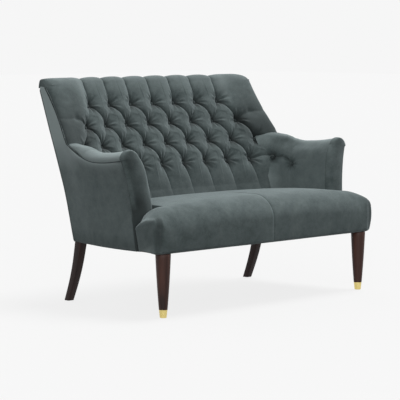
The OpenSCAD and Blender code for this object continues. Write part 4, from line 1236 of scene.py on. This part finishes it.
# Painted light and shade: a dark grey for painted shade where the stored value is below 0, a pale grey for
# painted light above it.
lie = node(tree, "Attribute", attribute_name="pile_lie")
painted_dark = node(tree, "Math", {1: -1}, operation="MULTIPLY")
darker = node(tree, "Mix", {"B": srgb(22, 27, 27)}, data_type="RGBA")
paler = node(tree, "Mix", {"B": srgb(132, 143, 143)}, data_type="RGBA")
wire(tree, (lie, "Fac", painted_dark, 0), (painted_dark, "Value", darker, "Factor"), (lie, "Fac", paler, "Factor"),
     (colours, "Color", darker, "A"), (darker, "Result", paler, "A"), (paler, "Result", shader, "Base Color"))


def paint(piece, material):
    piece.data.materials.clear()
    piece.data.materials.append(material)


# The rear legs get the walnut in painted shade.
for piece in made:
    paint(piece, by_slot["dark_walnut" if piece.name.startswith("rear_leg") else piece["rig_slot"]])
for part in frame["record"]["subparts"]:
    paint(frame["nodes"][part["node"]], by_slot[part["material_slot"]])

# %% [markdown]
# The stage is a plain pale floor that runs to the horizon, under an even white sky and three wide, soft
# lamps: the main one above and to the right, a weaker one at the left front and one behind. The floor
# and the sky that the camera or a shiny part sees are the backdrop's pale grey, and they light the
# chair more weakly than they look, so that colours come out about as they are written.

# %% Floor and light
BACKDROP = srgb(246, 246, 246)


def seen_rays(tree, strength):
    """The given strength for rays from the camera, a mirror or a glass, and 0 for all others."""
    path = node(tree, "LightPath")
    total = (path, "Is Camera Ray")
    for label in ("Is Glossy Ray", "Is Transmission Ray"):
        either = node(tree, "Math", operation="MAXIMUM")
        wire(tree, (*total, either, 0), (path, label, either, 1))
        total = (either, "Value")
    scaled = node(tree, "Math", {1: strength}, operation="MULTIPLY")
    wire(tree, (*total, scaled, 0))
    return scaled


bpy.ops.mesh.primitive_plane_add(size=60, location=(0, 0, -0.0005))
floor = bpy.context.object
floor.name = "studio_floor"
apply_place(floor)
floor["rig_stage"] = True
white, tree, shader = plain("studio_white")
give(shader, {"Base Color": srgb(78, 78, 78), "Emission Color": BACKDROP, "Roughness": 1,
              "Specular IOR Level": 0})
wire(tree, (seen_rays(tree, 0.88), "Value", shader, "Emission Strength"))
paint(floor, white)

world = bpy.data.worlds.new("studio_sky")
scene.world = world
world.use_nodes = True
tree = world.node_tree
sky = tree.nodes["Background"]
give(sky, {"Color": (1, 1, 1, 1), "Strength": 0.42})
seen = node(tree, "Background", {"Color": BACKDROP})
choose = node(tree, "MixShader")
wire(tree, (seen_rays(tree, 1), "Value", choose, "Fac"), (sky, "Background", choose, 1),
     (seen, "Background", choose, 2), (choose, "Shader", tree.nodes["World Output"], "Surface"))


def lamp(name, towards, strength, angle):
    data = bpy.data.lights.new(name, "SUN")
    data.energy, data.angle = strength, radians(angle)
    light = bpy.data.objects.new(name, data)
    light.rotation_mode = "QUATERNION"
    light.rotation_quaternion = Vector(towards).to_track_quat("-Z", "Y")
    scene.collection.objects.link(light)


lamp("main_lamp", (-0.4, 0.05, -1), 3.1, 30)
lamp("side_lamp", (0.8, 0.7, -0.3), 1.5, 60)
lamp("back_lamp", (-0.3, -0.8, -0.4), 0.9, 60)
scene.view_settings.view_transform = "Standard"

# %% Size and finish
dressed = [list(corner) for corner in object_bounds()]
for owner, box in (("CAD", cad_box), ("scene", dressed)):
    print(owner, "box in metres:", [[round(v, 4) for v in corner] for corner in box])
